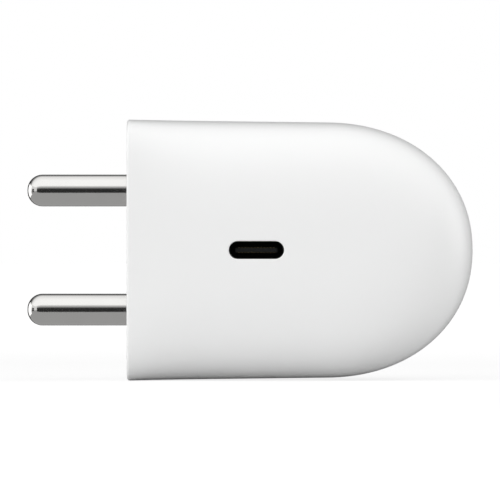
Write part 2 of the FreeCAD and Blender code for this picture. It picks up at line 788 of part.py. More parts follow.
def make_mains_parts():
    """X capacitor, inrush thermistor and Y capacitor, dipped or potted parts with soft edges."""
    box = block("x_capacitor_blank", ("16.5", "29.5"), ("-3.2", "boardFront - 0.1"), ("3.2", "8.6"))
    keep(rounded("x_capacitor", box, 0.5), "x_capacitor")
    disc = rod("thermistor_blank", "3.2", "x", "27.6", "30.6", ("boardFront - 3.5", "12"))
    keep(rounded("inrush_thermistor", disc, 1.2), "inrush_thermistor")
    disc = rod("y_capacitor_blank", "3.4", "z", "10.5", "14.1", ("39", "boardFront - 3.8"))
    keep(rounded("y_capacitor", disc, 1.4), "y_capacitor")


# Transformer


def at_core(offset):
    """A formula for x at an offset from the transformer's middle."""
    return "coreCentre + (%s)" % offset


def make_core_half(label, side):
    """An E-shaped ferrite half: a back and three legs that meet the other half in the middle."""
    body = new_body(label)
    sketch = new_sketch(body, "YZ", at_core("-coreHalf"), label + "_profile")
    back = "coreMiddle + (%d) * coreRise" % side
    inner = "coreMiddle + (%d) * (coreRise - coreBack)" % side
    tip = "coreMiddle + (%d) * 0.02" % side
    leg = "coreSpan - coreLeg"
    polygon(sketch, [
        (back, "-coreSpan"), (tip, "-coreSpan"), (tip, "-(%s)" % leg), (inner, "-(%s)" % leg),
        (inner, "-postHalf"), (tip, "-postHalf"), (tip, "postHalf"), (inner, "postHalf"),
        (inner, leg), (tip, leg), (tip, "coreSpan"), (back, "coreSpan"),
    ])
    pad(body, sketch, "2 * coreHalf")


def square_ring(sketch, inner, outer):
    """Two nested rectangles about the transformer's middle: each is a pair of half sizes, X and Z."""
    for half_x, half_z in (inner, outer):
        rectangle(sketch, (at_core("-(%s)" % half_x), at_core(half_x)), ("-(%s)" % half_z, half_z))


WINDOW_LOW = "coreMiddle - coreRise + coreBack + 0.1"
WINDOW_HIGH = "coreMiddle + coreRise - coreBack - 0.1"
TUBE_IN = ("coreHalf + 2 * fitGap", "postHalf + 2 * fitGap")
TUBE_OUT = (TUBE_IN[0] + " + tubeWall", TUBE_IN[1] + " + tubeWall")


def make_bobbin():
    """The bobbin: a square tube round the centre leg, two flanges, and a rail of pins at each end."""
    body = new_body("transformer_bobbin")
    tube = new_sketch(body, "XZ", WINDOW_HIGH, "bobbin_tube")
    square_ring(tube, TUBE_IN, TUBE_OUT)
    pad(body, tube, "(%s) - (%s)" % (WINDOW_HIGH, WINDOW_LOW))
    for name, level in (("top", WINDOW_LOW + " + flangeThick"), ("bottom", WINDOW_HIGH)):
        flange = new_sketch(body, "XZ", level, name + "_flange")
        square_ring(flange, TUBE_IN, ("flangeX", "flangeZ"))
        pad(body, flange, "flangeThick")
    rails = new_sketch(body, "XZ", "boardFront - fitGap", "pin_rails")
    for low, high in (("-flangeX", "-(coreHalf + 2 * fitGap)"), ("coreHalf + 2 * fitGap", "flangeX")):
        rectangle(rails, (at_core(low), at_core(high)), ("-flangeZ", "flangeZ"))
    pad(body, rails, "boardFront - fitGap - (%s) + flangeThick / 2" % WINDOW_HIGH)


def layer(start, thick):
    """Half sizes of a winding layer's inner and outer face, start from the bobbin's tube."""
    inner = tuple("%s + %s" % (side, start) for side in TUBE_OUT)
    return inner, tuple("%s + %s" % (side, thick) for side in inner)


def make_windings():
    """Primary, secondary and a wrap of tape, one round the other between the flanges."""
    low = WINDOW_LOW + " + flangeThick + fitGap"
    high = WINDOW_HIGH + " - flangeThick - fitGap"
    second = "fitGap + primaryThick + fitGap"
    third = second + " + secondaryThick + fitGap"
    wraps = (
        ("primary_winding", "fitGap", "primaryThick"),
        ("secondary_winding", second, "secondaryThick"),
        ("transformer_tape", third, "tapeThick"),
    )
    for label, start, thick in wraps:
        body = new_body(label)
        sketch = new_sketch(body, "XZ", high, label + "_section")
        square_ring(sketch, *layer(start, thick))
        pad(body, sketch, "(%s) - (%s)" % (high, low))


def transformer_pin_spots():
    """Places of the transformer's pins on the board: five on the mains side, four on the other."""
    spots = [(at_core("6.1"), "%s" % (2.8 * (i - 2))) for i in range(5)]
    return spots + [(at_core("-6.1"), "%s" % (3.6 * (i - 1.5))) for i in range(4)]


def make_transformer_pins():
    """Square-set tinned pins, pressed into the bobbin's rails from below."""
    pins = []
    for i, (x, z) in enumerate(transformer_pin_spots()):
        low, high = "boardFront - fitGap", "boardFront + boardThick + 0.5"
        pins.append(rod("transformer_pin_%d" % i, "0.35", "y", low, high, (x, z)))
    keep(group("transformer_pins", pins), "transformer_pins")


def make_secondary_leads():
    """Two insulated leads from the secondary, bent down onto the output board."""
    start, level, bend = cell("coreCentre") - cell("flangeX") - 0.1, 1.2, 1.4
    foot = cell("outBoardTop")
    leads = []
    for depth in (0.8, 3.4):
        turn_x = 30.0
        corner = V(turn_x - bend * math.sin(math.pi / 4), depth, level - bend + bend * math.cos(math.pi / 4))
        path = Part.Wire([
            Part.LineSegment(V(start, depth, level), V(turn_x, depth, level)).toShape(),
            Part.Arc(V(turn_x, depth, level), corner, V(turn_x - bend, depth, level - bend)).toShape(),
            Part.LineSegment(V(turn_x - bend, depth, level - bend), V(turn_x - bend, depth, foot)).toShape(),
        ])
        ring = Part.Wire(Part.makeCircle(0.6, V(start, depth, level), V(-1, 0, 0)))
        leads.append(path.makePipeShell([ring], True, True))
    keep(shape_feature("secondary_leads", Part.makeCompound(leads)), "secondary_leads")


# Chips


def make_chip(label, x, z, thick, pins, above=False):
    """A moulded chip with its leads on the board's back, or on its front where above is set."""
    face = "boardFront" if above else "boardFront + boardThick"
    sign = "-" if above else "+"
    lift = 0.1
    near = "%s %s %s" % (face, sign, lift)
    far = "%s %s %s" % (face, sign, lift + thick)
    deep = (far, near) if above else (near, far)
    pieces = [block(label + "_case", ("%s" % x[0], "%s" % x[1]), deep, ("%s" % z[0], "%s" % z[1]))]
    step = (x[1] - x[0]) / pins
    lead_far = "%s %s %s" % (face, sign, lift + 0.3)
    lead_deep = (lead_far, face) if above else (face, lead_far)
    for i in range(pins):
        middle = x[0] + step * (i + 0.5)
        across = ("%s" % (middle - 0.2), "%s" % (middle + 0.2))
        tall = ("%s" % (z[0] - 0.8), "%s" % (z[1] + 0.8))
        pieces.append(block("%s_lead_%d" % (label, i), across, lead_deep, tall))
    keep(fuse(label, pieces), label)


def make_chips():
    """Rectifier, controller and switches on the back of the main board, optocoupler on its front."""
    make_chip("bridge_rectifier", (11.0, 16.0), (4.5, 8.5), 1.4, 2)
    make_chip("primary_controller", (20.0, 25.0), (5.2, 9.2), 1.4, 4)
    make_chip("sync_rectifier", (38.6, 44.0), (-5.5, -1.5), 1.1, 4)
    make_chip("optocoupler", (35.0, 39.6), (-14.4, -10.6), 3.4, 2, above=True)
    floor = "outBoardTop"
    switch = block("load_switch", ("18.2", "21.5"), ("-4.4", "-1.1"), (floor, floor + " + 0.9"))
    keep(switch, "load_switch")
    under = "outBoardTop - outBoardThick"
    control = block("pd_controller", ("22.4", "26.4"), ("-4.6", "-0.6"), (under + " - 0.85", under))
    keep(control, "pd_controller")


def make_small_parts():
    """Rows of chip resistors and chip capacitors on the back of the main board."""
    for label, thick, level, count in (("chip_resistors", 0.45, -8.2, 8), ("chip_capacitors", 0.8, -11.2, 7)):
        chips = []
        for i in range(count):
            x = 12.0 + 2.4 * i
            deep = ("boardFront + boardThick", "boardFront + boardThick + %s" % thick)
            across = ("%s" % x, "%s" % (x + 1.6))
            chips.append(block("%s_%d" % (label, i), across, deep, ("%s" % level, "%s" % (level + 0.8))))
        keep(group(label, chips), label)


def make_output_capacitors():
    """Two polymer cans that stand on the output board, one each side of the socket."""
    cans = []
    for i, x in enumerate(("portCentre - 7.1", "28")):
        can = rod("output_can_%d" % i, "2.45", "z", "outBoardTop", "outBoardTop + 5.8", (x, "-6.9"))
        cans.append(rounded("output_capacitor_%d" % i, can, 0.3))
    keep(group("output_capacitors", cans), "output_capacitors")


def make_heat_parts():
    """A bent aluminium spreader over the transformer, and the soft pad between them."""
    body = new_body("heat_spreader")
    sketch = new_sketch(body, "XY", "-7.6", "spreader_profile")
    polygon(sketch, [
        ("33", "-9.2"), ("47.8", "-9.2"), ("47.8", "-3"), ("47.4", "-3"), ("47.4", "-8.8"), ("33", "-8.8"),
    ])
    pad(body, sketch, "15.2")
    top = "coreMiddle - coreRise"
    across = (at_core("-coreHalf"), at_core("coreHalf"))
    keep(block("thermal_pad", across, ("-8.78", top + " - 0.02"), ("-7.4", "7.4")), "thermal_pad")


make_housing()
make_pin_plate()
make_pin("line_pin", "pinSpacing / 2")
make_pin("neutral_pin", "-pinSpacing / 2")
make_pin_carrier()
make_contact("line_contact", "pinSpacing / 2")
make_contact("neutral_contact", "-pinSpacing / 2")
make_socket_shell()
make_tongue()
make_socket_contacts()
make_rear_block()
make_boards()
make_leads()
make_bulk_capacitors()
make_fuse()
make_choke()
make_mains_parts()
make_core_half("transformer_upper_core", -1)
make_core_half("transformer_lower_core", 1)
make_bobbin()
make_windings()
make_transformer_pins()
make_secondary_leads()
make_chips()
make_small_parts()
make_output_capacitors()
make_heat_parts()
doc.recompute()

for item in doc.Objects:
    if "Invalid" in item.State or "Error" in item.State:
        raise RuntimeError("%s failed: %s" % (item.Name, item.State))
for node in NODES:
    if node.Shape.isNull() or not node.Shape.isValid():
        raise RuntimeError("%s has no valid shape" % node.Label)

os.makedirs("parts", exist_ok=True)
for node in NODES:
    node.Shape.exportStep("parts/%s.step" % node.Label)
    box = node.Shape.BoundBox
    print("%-24s %2d solids %9.2f mm3  x %6.2f %6.2f  y %6.2f %6.2f  z %6.2f %6.2f" % (
        node.Label, len(node.Shape.Solids), node.Shape.Volume,
        box.XMin, box.XMax, box.YMin, box.YMax, box.ZMin, box.ZMax))
print(len(NODES), "sub-parts")
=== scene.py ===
# %% [markdown]
# # A wall-plug power adapter
# The part arrives from CAD as a fixed frame of 46 named pieces: a white moulded tub, the end plate
# that closes it, two round pins, a USB-C socket and the electronics inside. Nothing on it moves, so
# every piece rides on the one body, "root". This script gives each piece its finish, and makes again,
# in finer form, the pieces whose shape the eye judges: the tub, the end plate, the pins and the
# choke's windings. Millimetres are used for sizes, and metres for everything that Blender stores.

# %% Load the frame
import json
import math
import bpy
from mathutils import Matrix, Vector


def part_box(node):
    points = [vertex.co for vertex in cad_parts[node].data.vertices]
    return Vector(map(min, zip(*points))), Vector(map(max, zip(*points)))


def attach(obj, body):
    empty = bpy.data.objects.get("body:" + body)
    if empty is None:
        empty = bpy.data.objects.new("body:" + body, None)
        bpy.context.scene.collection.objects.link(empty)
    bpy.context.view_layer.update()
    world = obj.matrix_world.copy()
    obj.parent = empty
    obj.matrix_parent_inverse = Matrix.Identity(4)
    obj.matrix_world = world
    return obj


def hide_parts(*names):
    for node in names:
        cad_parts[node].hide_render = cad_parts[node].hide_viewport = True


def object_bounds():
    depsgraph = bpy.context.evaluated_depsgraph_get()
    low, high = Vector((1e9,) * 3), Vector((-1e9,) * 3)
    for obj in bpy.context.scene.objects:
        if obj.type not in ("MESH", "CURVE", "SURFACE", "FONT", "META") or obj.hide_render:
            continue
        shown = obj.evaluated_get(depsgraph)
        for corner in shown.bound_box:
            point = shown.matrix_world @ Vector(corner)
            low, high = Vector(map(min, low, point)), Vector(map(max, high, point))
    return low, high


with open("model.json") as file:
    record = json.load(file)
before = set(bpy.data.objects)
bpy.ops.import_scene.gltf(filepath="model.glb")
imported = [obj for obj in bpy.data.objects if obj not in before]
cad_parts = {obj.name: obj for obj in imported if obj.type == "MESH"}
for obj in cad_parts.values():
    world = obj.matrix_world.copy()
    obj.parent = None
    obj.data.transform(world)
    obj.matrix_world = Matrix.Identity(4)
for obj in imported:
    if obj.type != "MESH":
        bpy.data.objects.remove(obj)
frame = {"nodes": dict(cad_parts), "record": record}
bpy.context.view_layer.update()
cad_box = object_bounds()
MM = 0.001
print("CAD box in mm:", [tuple(round(v / MM, 2) for v in corner) for corner in cad_box])

# %% [markdown]
# ## Camera
# The picture was taken square on to the broad face, from so far away that the pins show no
# perspective. A camera one metre away with a long lens gives the same flat view. Its aim is worked out
# from where the picture has the pin face and the line halfway between the pins.

# %% Place the camera
PICTURE_SIZE = 500
PIXELS_PER_MM = 6.2514
PIN_FACE_PIXEL = 128.2
PIN_MIDDLE_PIXEL = 250.05
CAMERA_DISTANCE = 1.0
SENSOR_WIDTH = 36.0

scene = bpy.context.scene
aim_x = (PICTURE_SIZE / 2 - PIN_FACE_PIXEL) / PIXELS_PER_MM * MM
aim_z = (PIN_MIDDLE_PIXEL - PICTURE_SIZE / 2) / PIXELS_PER_MM * MM
view_width = PICTURE_SIZE / PIXELS_PER_MM * MM

lens_data = bpy.data.cameras.new("portrait_lens")
lens_data.sensor_width = SENSOR_WIDTH
lens_data.lens = SENSOR_WIDTH * CAMERA_DISTANCE / view_width
lens_data.clip_end = 50.0
camera = bpy.data.objects.new("portrait_camera", lens_data)
camera.location = (aim_x, -CAMERA_DISTANCE, aim_z)
camera.rotation_euler = (math.pi / 2, 0, 0)
scene.collection.objects.link(camera)
scene.camera = camera
scene.view_settings.view_transform = "Standard"
print("lens of %.0f mm, aimed at x %.2f mm" % (lens_data.lens, aim_x / MM))

# %% [markdown]
# ## Sizes read from the frame
# The finer pieces have to lie where the CAD pieces lie, so their main sizes come from the boxes of
# the CAD nodes. Only the numbers of the skin's rule, which a box can't tell, are written out.

# %% Read the sizes
tub_low, tub_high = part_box("housing")
pin_low, pin_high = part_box("line_pin")
shell_low, shell_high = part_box("usb_c_shell")
plate_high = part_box("pin_plate")[1]
ring_low, ring_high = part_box("choke_core")

SKIN = {
    "Body Length": tub_high.x - tub_low.x,
    "Body Height": tub_high.z - tub_low.z,
    "Body Thickness": tub_high.y - tub_low.y,
    "Side Draft": 0.0118,
    "Nose Start": 31.8 * MM,
    "Nose Power": 2.13,
    "Face Power": 7.5,
    "Crown Power": 3.7,
    "Power Fade": 4.0 * MM,
    "Wall": 2.2 * MM,
    "Rim Wall": 1.2 * MM,
    "Rim Round": 0.4 * MM,
    "Plate Thickness": 2.0 * MM,
    "Seam Gap": 0.06 * MM,
}
PORT_CENTRE = (shell_low.x + shell_high.x) / 2
PORT_WIDTH = 8.72 * MM
PORT_HEIGHT = 2.8 * MM
print("port centred %.2f mm from the pin face" % (PORT_CENTRE / MM))

# %% [markdown]
# ## Formulas as nodes
# Both geometry and shader trees work out numbers with Math nodes. Wiring them by hand hides the
# formula, so a small class stands for "a number that may change from point to point": adding or
# multiplying two of them makes the Math node and gives its result.


# %% A number inside a node tree
class Field:
    """A number in a node tree. Arithmetic on it makes Math nodes."""

    def __init__(self, tree, socket):
        self.tree = tree
        self.socket = socket

    def math(self, operation, *others):
        node = self.tree.nodes.new("ShaderNodeMath")
        node.operation = operation
        for slot, value in zip(node.inputs, (self, *others)):
            plug(self.tree, value, slot)
        return Field(self.tree, node.outputs[0])

    def __add__(self, other):
        return self.math("ADD", other)

    __radd__ = __add__

    def __mul__(self, other):
        return self.math("MULTIPLY", other)

    __rmul__ = __mul__

    def __sub__(self, other):
        return self.math("SUBTRACT", other)

    def __rsub__(self, other):
        return (self * -1.0).math("ADD", other)

    def __truediv__(self, other):
        return self.math("DIVIDE", other)

    def __rtruediv__(self, other):
        return self.math("POWER", -1.0) * other

    def __pow__(self, other):
        return self.math("POWER", other)

    def __abs__(self):
        return self.math("ABSOLUTE")

    def cos(self):
        return self.math("COSINE")

    def sin(self):
        return self.math("SINE")

    def exp(self):
        return self.math("EXPONENT")

    def floor(self):
        return self.math("FLOOR")

    def least(self, other):
        return self.math("MINIMUM", other)

    def most(self, other):
        return self.math("MAXIMUM", other)


def plug(tree, value, slot):
    """Feed a socket from a Field, from another socket, or with a plain value."""
    if isinstance(value, Field):
        tree.links.new(value.socket, slot)
    elif isinstance(value, bpy.types.NodeSocket):
        tree.links.new(value, slot)
    else:
        slot.default_value = value


def add_node(tree, kind, inputs=None, **settings):
    """A node with its settings and its inputs, which are given by name or by number."""
    node = tree.nodes.new(kind)
    for name, value in settings.items():
        setattr(node, name, value)
    for name, value in (inputs or {}).items():
        plug(tree, value, node.inputs[name])
    return node


# %% A geometry tree with named inputs, and its use on a new object
SAME_POINT = 0.002 * MM
CREASE_ANGLE = 0.6


def geometry_tree(name, sizes):
    """A geometry tree whose inputs carry the sizes. Returns it, its sizes as Fields, and its finish."""
    tree = bpy.data.node_groups.new(name, "GeometryNodeTree")
    for label in sizes:
        tree.interface.new_socket(name=label, in_out="INPUT", socket_type="NodeSocketFloat")
    tree.interface.new_socket(name="Finish", in_out="INPUT", socket_type="NodeSocketMaterial")
    tree.interface.new_socket(name="Geometry", in_out="OUTPUT", socket_type="NodeSocketGeometry")
    entry = tree.nodes.new("NodeGroupInput")
    fields = {label: Field(tree, entry.outputs[label]) for label in sizes}
    return tree, fields, entry.outputs["Finish"]


def merged_points(tree, geometry):
    """The geometry with points that coincide made one."""
    node = add_node(tree, "GeometryNodeMergeByDistance", {"Geometry": geometry, "Distance": SAME_POINT})
    return node.outputs[0]


def close_tree(tree, geometry, finish):
    """End a tree: merge doubles, shade smooth up to the crease angle, realise, set the material."""
    merged = merged_points(tree, geometry)
    smooth = add_node(tree, "GeometryNodeSetShadeSmooth", {"Geometry": merged}, domain="FACE")
    angle = tree.nodes.new("GeometryNodeInputMeshEdgeAngle")
    sharp = add_node(
        tree, "FunctionNodeCompare", {0: angle.outputs[0], 1: CREASE_ANGLE}, operation="GREATER_THAN")
    creased = add_node(tree, "GeometryNodeSetShadeSmooth", {
        "Geometry": smooth.outputs[0], "Selection": sharp.outputs[0],
        "Shade Smooth": False}, domain="EDGE")
    real = add_node(tree, "GeometryNodeRealizeInstances", {"Geometry": creased.outputs[0]})
    painted = add_node(
        tree, "GeometryNodeSetMaterial", {"Geometry": real.outputs[0], "Material": finish})
    exit_node = tree.nodes.new("NodeGroupOutput")
    tree.links.new(painted.outputs[0], exit_node.inputs["Geometry"])


def grow(name, tree, sizes, finish):
    """Run a tree on an empty mesh and keep the result as a plain mesh object."""
    seed = bpy.data.objects.new(name + "_seed", bpy.data.meshes.new(name + "_seed"))
    scene.collection.objects.link(seed)
    modifier = seed.modifiers.new(tree.name, "NODES")
    modifier.node_group = tree
    sockets = {
        item.name: item.identifier for item in tree.interface.items_tree if item.in_out == "INPUT"}
    for label, value in sizes.items():
        modifier[sockets[label]] = value
    modifier[sockets["Finish"]] = finish
    depsgraph = bpy.context.evaluated_depsgraph_get()
    mesh = bpy.data.meshes.new_from_object(seed.evaluated_get(depsgraph), depsgraph=depsgraph)
    seed.modifiers.remove(modifier)
    bpy.data.objects.remove(seed)
    mesh.name = name
    piece = bpy.data.objects.new(name, mesh)
    scene.collection.objects.link(piece)
    print("%s: %d faces" % (name, len(mesh.polygons)))
    return piece

# %% [markdown]
# ## Effects that several finishes share
# A real surface is never one flat colour: moulded plastic carries a fine grain and a slight haze,
# drawn or turned metal carries lines along one direction, and fired or dipped parts are speckled.
# Each of these is a shader group that puts out masks and heights only. The materials place a group
# with their own sizes and feed what it gives to colour, roughness and bump.


# %% A shader group with named inputs and outputs
def shader_group(name, inputs, outputs):
    """A shader group. Returns it with its inputs' sockets and its output node's sockets."""
    tree = bpy.data.node_groups.new(name, "ShaderNodeTree")
    for label, value in inputs.items():
        kind = "NodeSocketVector" if isinstance(value, tuple) else "NodeSocketFloat"
        socket = tree.interface.new_socket(name=label, in_out="INPUT", socket_type=kind)
        socket.default_value = value
    for label in outputs:
        tree.interface.new_socket(name=label, in_out="OUTPUT", socket_type="NodeSocketFloat")
    inlet = tree.nodes.new("NodeGroupInput").outputs
    return tree, inlet, tree.nodes.new("NodeGroupOutput").inputs


def noise(tree, vector, scale, detail):
    """The value of a noise texture, from about 0.25 to 0.75."""
    node = add_node(tree, "ShaderNodeTexNoise", {"Vector": vector, "Scale": scale, "Detail": detail})
    return Field(tree, node.outputs["Fac"])


def stretch(tree, vector, factors):
    """A vector multiplied along each axis."""
    node = add_node(tree, "ShaderNodeVectorMath", {0: vector, 1: factors}, operation="MULTIPLY")
    return node.outputs[0]


# %% Moulded grain: fine orange peel, slow haze and a slower drift of shade
DRIFT_TO_HAZE = 0.3
grain_group, inlet, outlet = shader_group(
    "Moulded Grain", {"Vector": (0.0, 0.0, 0.0), "Grain per metre": 3000.0, "Haze per metre": 90.0},
    ["Grain", "Haze", "Drift"])
slow = Field(grain_group, inlet["Haze per metre"]) * DRIFT_TO_HAZE
for label, scale, detail in (
        ("Grain", inlet["Grain per metre"], 2.0), ("Haze", inlet["Haze per metre"], 4.0),
        ("Drift", slow, 1.0)):
    plug(grain_group, noise(grain_group, inlet["Vector"], scale, detail), outlet[label])
print("grain group:", len(grain_group.nodes), "nodes")

# %% Worked lines: the marks of a lathe, a die or a winding, long one way and fine across it
lines_group, inlet, outlet = shader_group(
    "Worked Lines", {"Vector": (0.0, 0.0, 0.0), "Lines per metre": (1.0, 1.0, 1.0)},
    ["Lines", "Patches"])
PATCHES_PER_METRE = 250.0
worked = stretch(lines_group, inlet["Vector"], inlet["Lines per metre"])
plug(lines_group, noise(lines_group, worked, 1.0, 4.0), outlet["Lines"])
plug(lines_group, noise(lines_group, inlet["Vector"], PATCHES_PER_METRE, 3.0), outlet["Patches"])
print("lines group:", len(lines_group.nodes), "nodes")

# %% Speckle: small grains of another shade, scattered evenly
speckle_group, inlet, outlet = shader_group(
    "Speckle", {"Vector": (0.0, 0.0, 0.0), "Grains per metre": 3000.0, "Share": 0.4},
    ["Speckle", "Pits"])
cells = add_node(speckle_group, "ShaderNodeTexVoronoi",
                 {"Vector": inlet["Vector"], "Scale": inlet["Grains per metre"]})
spot = Field(speckle_group, cells.outputs["Distance"])
plug(speckle_group, (spot * -1.0 + inlet["Share"]).most(0.0).math("SQRT"), outlet["Speckle"])
plug(speckle_group, spot, outlet["Pits"])
print("speckle group:", len(speckle_group.nodes), "nodes")

# %% [markdown]
# ## Finishes
# Each material slot of the record gets one material. A material is a Principled BSDF whose colour
# runs between two close shades, whose roughness runs between two values, and whose bump comes from
# one of the groups. What is the same all over, such as being metal, stays on the shader itself.


# %% Parts that every finish has
def mix_colour(tree, factor, dark, light):
    """A colour between two, chosen by a factor."""
    node = add_node(tree, "ShaderNodeMix", {"Factor": factor, "A": (*dark, 1.0), "B": (*light, 1.0)},
                    data_type="RGBA")
    return node.outputs["Result"]


def new_finish(slot_name):
    """An empty material with its shader and its object coordinates."""
    material = bpy.data.materials.new(slot_name)
    material.use_nodes = True
    tree = material.node_tree
    shader = tree.nodes["Principled BSDF"]
    return material, tree, shader, tree.nodes.new("ShaderNodeTexCoord").outputs["Object"]


def place_group(tree, group, inputs):
    """One use of a shader group."""
    node = tree.nodes.new("ShaderNodeGroup")
    node.node_tree = group
    for name, value in inputs.items():
        plug(tree, value, node.inputs[name])
    return node


def spread(tree, value, low, high):
    """A noise value, from a quarter to three quarters, spread between two numbers."""
    node = add_node(tree, "ShaderNodeMapRange",
                    {"Value": value, "From Min": 0.25, "From Max": 0.75, "To Min": low, "To Max": high})
    return node.outputs["Result"]


def bump(tree, height, depth, shader):
    """A bump whose depth is the real height of the marks, in metres."""
    node = add_node(tree, "ShaderNodeBump", {"Height": height, "Distance": depth, "Strength": 1.0})
    tree.links.new(node.outputs["Normal"], shader.inputs["Normal"])


# %% Moulded plastic, rubber and resin
HAZE_SIZE = 11.0 * MM
PLASTIC_IOR = 1.5


def moulded(slot_name, dark, light, rough, grain_mm, depth_mm):
    """A moulded or potted material: two shades, a range of roughness, and grain of a real size."""
    material, tree, shader, place = new_finish(slot_name)
    grain = place_group(tree, grain_group, {
        "Vector": place, "Grain per metre": 1 / (grain_mm * MM), "Haze per metre": 1 / HAZE_SIZE})
    tree.links.new(mix_colour(tree, grain.outputs["Drift"], dark, light), shader.inputs["Base Color"])
    tree.links.new(spread(tree, grain.outputs["Haze"], *rough), shader.inputs["Roughness"])
    bump(tree, grain.outputs["Grain"], depth_mm * MM, shader)
    shader.inputs["IOR"].default_value = PLASTIC_IOR
    return material


# %% Metal
def metal(slot_name, dark, light, rough, lines, depth_mm):
    """A metal with lines from how it was worked: lines counts them per metre along X, Y and Z."""
    material, tree, shader, place = new_finish(slot_name)
    marks = place_group(tree, lines_group, {"Vector": place, "Lines per metre": lines})
    tree.links.new(mix_colour(tree, marks.outputs["Patches"], dark, light), shader.inputs["Base Color"])
    tree.links.new(spread(tree, marks.outputs["Lines"], *rough), shader.inputs["Roughness"])
    bump(tree, marks.outputs["Lines"], depth_mm * MM, shader)
    shader.inputs["Metallic"].default_value = 1.0
    return material


# %% Fired and dipped parts
def speckled(slot_name, dark, light, rough, grain_mm, depth_mm):
    """A ceramic, ferrite or dipped coat: speckled, with fine pits."""
    material, tree, shader, place = new_finish(slot_name)
    fineness = 1 / (grain_mm * MM)
    speckle = place_group(tree, speckle_group, {"Vector": place, "Grains per metre": fineness})
    grain = place_group(tree, grain_group, {"Vector": place, "Grain per metre": fineness})
    tree.links.new(mix_colour(tree, speckle.outputs["Speckle"], dark, light), shader.inputs["Base Color"])
    tree.links.new(spread(tree, grain.outputs["Haze"], *rough), shader.inputs["Roughness"])
    bump(tree, speckle.outputs["Pits"], depth_mm * MM, shader)
    return material


# %% The finishes by slot: two shades, roughness from and to, grain or lines, and their depth in mm
# The housing's roughness stays above 0.28 throughout. With a range of 0.265 to 0.28, and nothing else
# changed, the render shows blotches with sharp edges on it.
MOULDED = {
    "white_housing": ((0.866, 0.87, 0.87), (0.876, 0.878, 0.875), (0.29, 0.32), 0.5, 0.0005),
    "white_plate": ((0.85, 0.853, 0.853), (0.862, 0.864, 0.861), (0.38, 0.42), 0.22, 0.0015),
    "black_moulding": ((0.002, 0.002, 0.0022), (0.004, 0.004, 0.0043), (0.4, 0.5), 0.15, 0.004),
    "insulation": ((0.9, 0.82, 0.55), (0.93, 0.87, 0.65), (0.3, 0.45), 0.6, 0.004),
    "yellow_potting": ((0.66, 0.5, 0.06), (0.78, 0.62, 0.1), (0.3, 0.45), 0.4, 0.004),
    "lead_sleeve": ((0.75, 0.73, 0.68), (0.85, 0.83, 0.78), (0.35, 0.5), 0.3, 0.003),
    "seal_rubber": ((0.012, 0.012, 0.012), (0.03, 0.03, 0.03), (0.6, 0.8), 0.2, 0.01),
    "chip_epoxy": ((0.012, 0.012, 0.014), (0.028, 0.028, 0.03), (0.45, 0.65), 0.08, 0.006),
    "pad_silicone": ((0.3, 0.42, 0.55), (0.38, 0.5, 0.62), (0.6, 0.75), 0.5, 0.01),
}
METAL = {
    "nickel_pin": (
        (0.6, 0.595, 0.585), (0.64, 0.635, 0.62), (0.1, 0.14), (30000.0, 300.0, 300.0), 0.00004),
    # socket_steel is a black plated finish, kept near black also as painted shade for the shadowed recess
    # of the port's mouth.
    "socket_steel": (
        (0.02, 0.02, 0.022), (0.035, 0.035, 0.037), (0.35, 0.5), (900.0, 60.0, 900.0), 0.0004),
    "mid_steel": ((0.5, 0.5, 0.5), (0.58, 0.58, 0.57), (0.25, 0.4), (400.0, 4000.0, 400.0), 0.0004),
    "gold_contact": (
        (0.95, 0.7, 0.3), (1.0, 0.78, 0.38), (0.15, 0.3), (6000.0, 300.0, 600.0), 0.0003),
    "contact_brass": (
        (0.75, 0.55, 0.26), (0.85, 0.66, 0.34), (0.25, 0.4), (600.0, 600.0, 7000.0), 0.0006),
    "tinned_wire": (
        (0.65, 0.65, 0.66), (0.76, 0.76, 0.76), (0.25, 0.42), (1500.0, 400.0, 1500.0), 0.0008),
    "can_aluminium": (
        (0.72, 0.73, 0.75), (0.82, 0.83, 0.84), (0.22, 0.36), (200.0, 5000.0, 200.0), 0.0008),
    "spreader_aluminium": (
        (0.7, 0.71, 0.72), (0.8, 0.8, 0.81), (0.3, 0.45), (200.0, 200.0, 6000.0), 0.001),
    "copper_wire": ((0.65, 0.24, 0.1), (0.8, 0.36, 0.18), (0.2, 0.35), (400.0, 400.0, 400.0), 0.0005),
}
SPECKLED = {
    "ceramic": ((0.78, 0.76, 0.7), (0.88, 0.87, 0.83), (0.4, 0.55), 0.3, 0.003),
    "ferrite": ((0.03, 0.03, 0.032), (0.085, 0.085, 0.09), (0.5, 0.7), 0.25, 0.006),
    "green_dip": ((0.02, 0.13, 0.06), (0.035, 0.2, 0.09), (0.3, 0.45), 0.6, 0.008),
    "blue_dip": ((0.02, 0.12, 0.4), (0.035, 0.18, 0.52), (0.25, 0.4), 0.6, 0.008),
    "chip_ceramic": ((0.36, 0.26, 0.16), (0.5, 0.38, 0.26), (0.35, 0.5), 0.12, 0.002),
}
FINISH = {}
for make, looks in ((moulded, MOULDED), (metal, METAL), (speckled, SPECKLED)):
    for slot_name, look in looks.items():
        FINISH[slot_name] = make(slot_name, *look)
print(len(FINISH), "finishes")

# %% [markdown]
# ## Circuit board
# A board shows its solder mask in two greens: lighter over copper, darker over bare laminate. The
# copper areas are blocks with straight edges, so a brick pattern, broken up by a coarse noise,
# stands for them.

# %% Board finish
MASK_ON_LAMINATE = (0.008, 0.09, 0.03)
MASK_ON_COPPER = (0.02, 0.2, 0.07)
COPPER_BLOCK = 9 * MM
COPPER_THICKNESS = 0.03 * MM


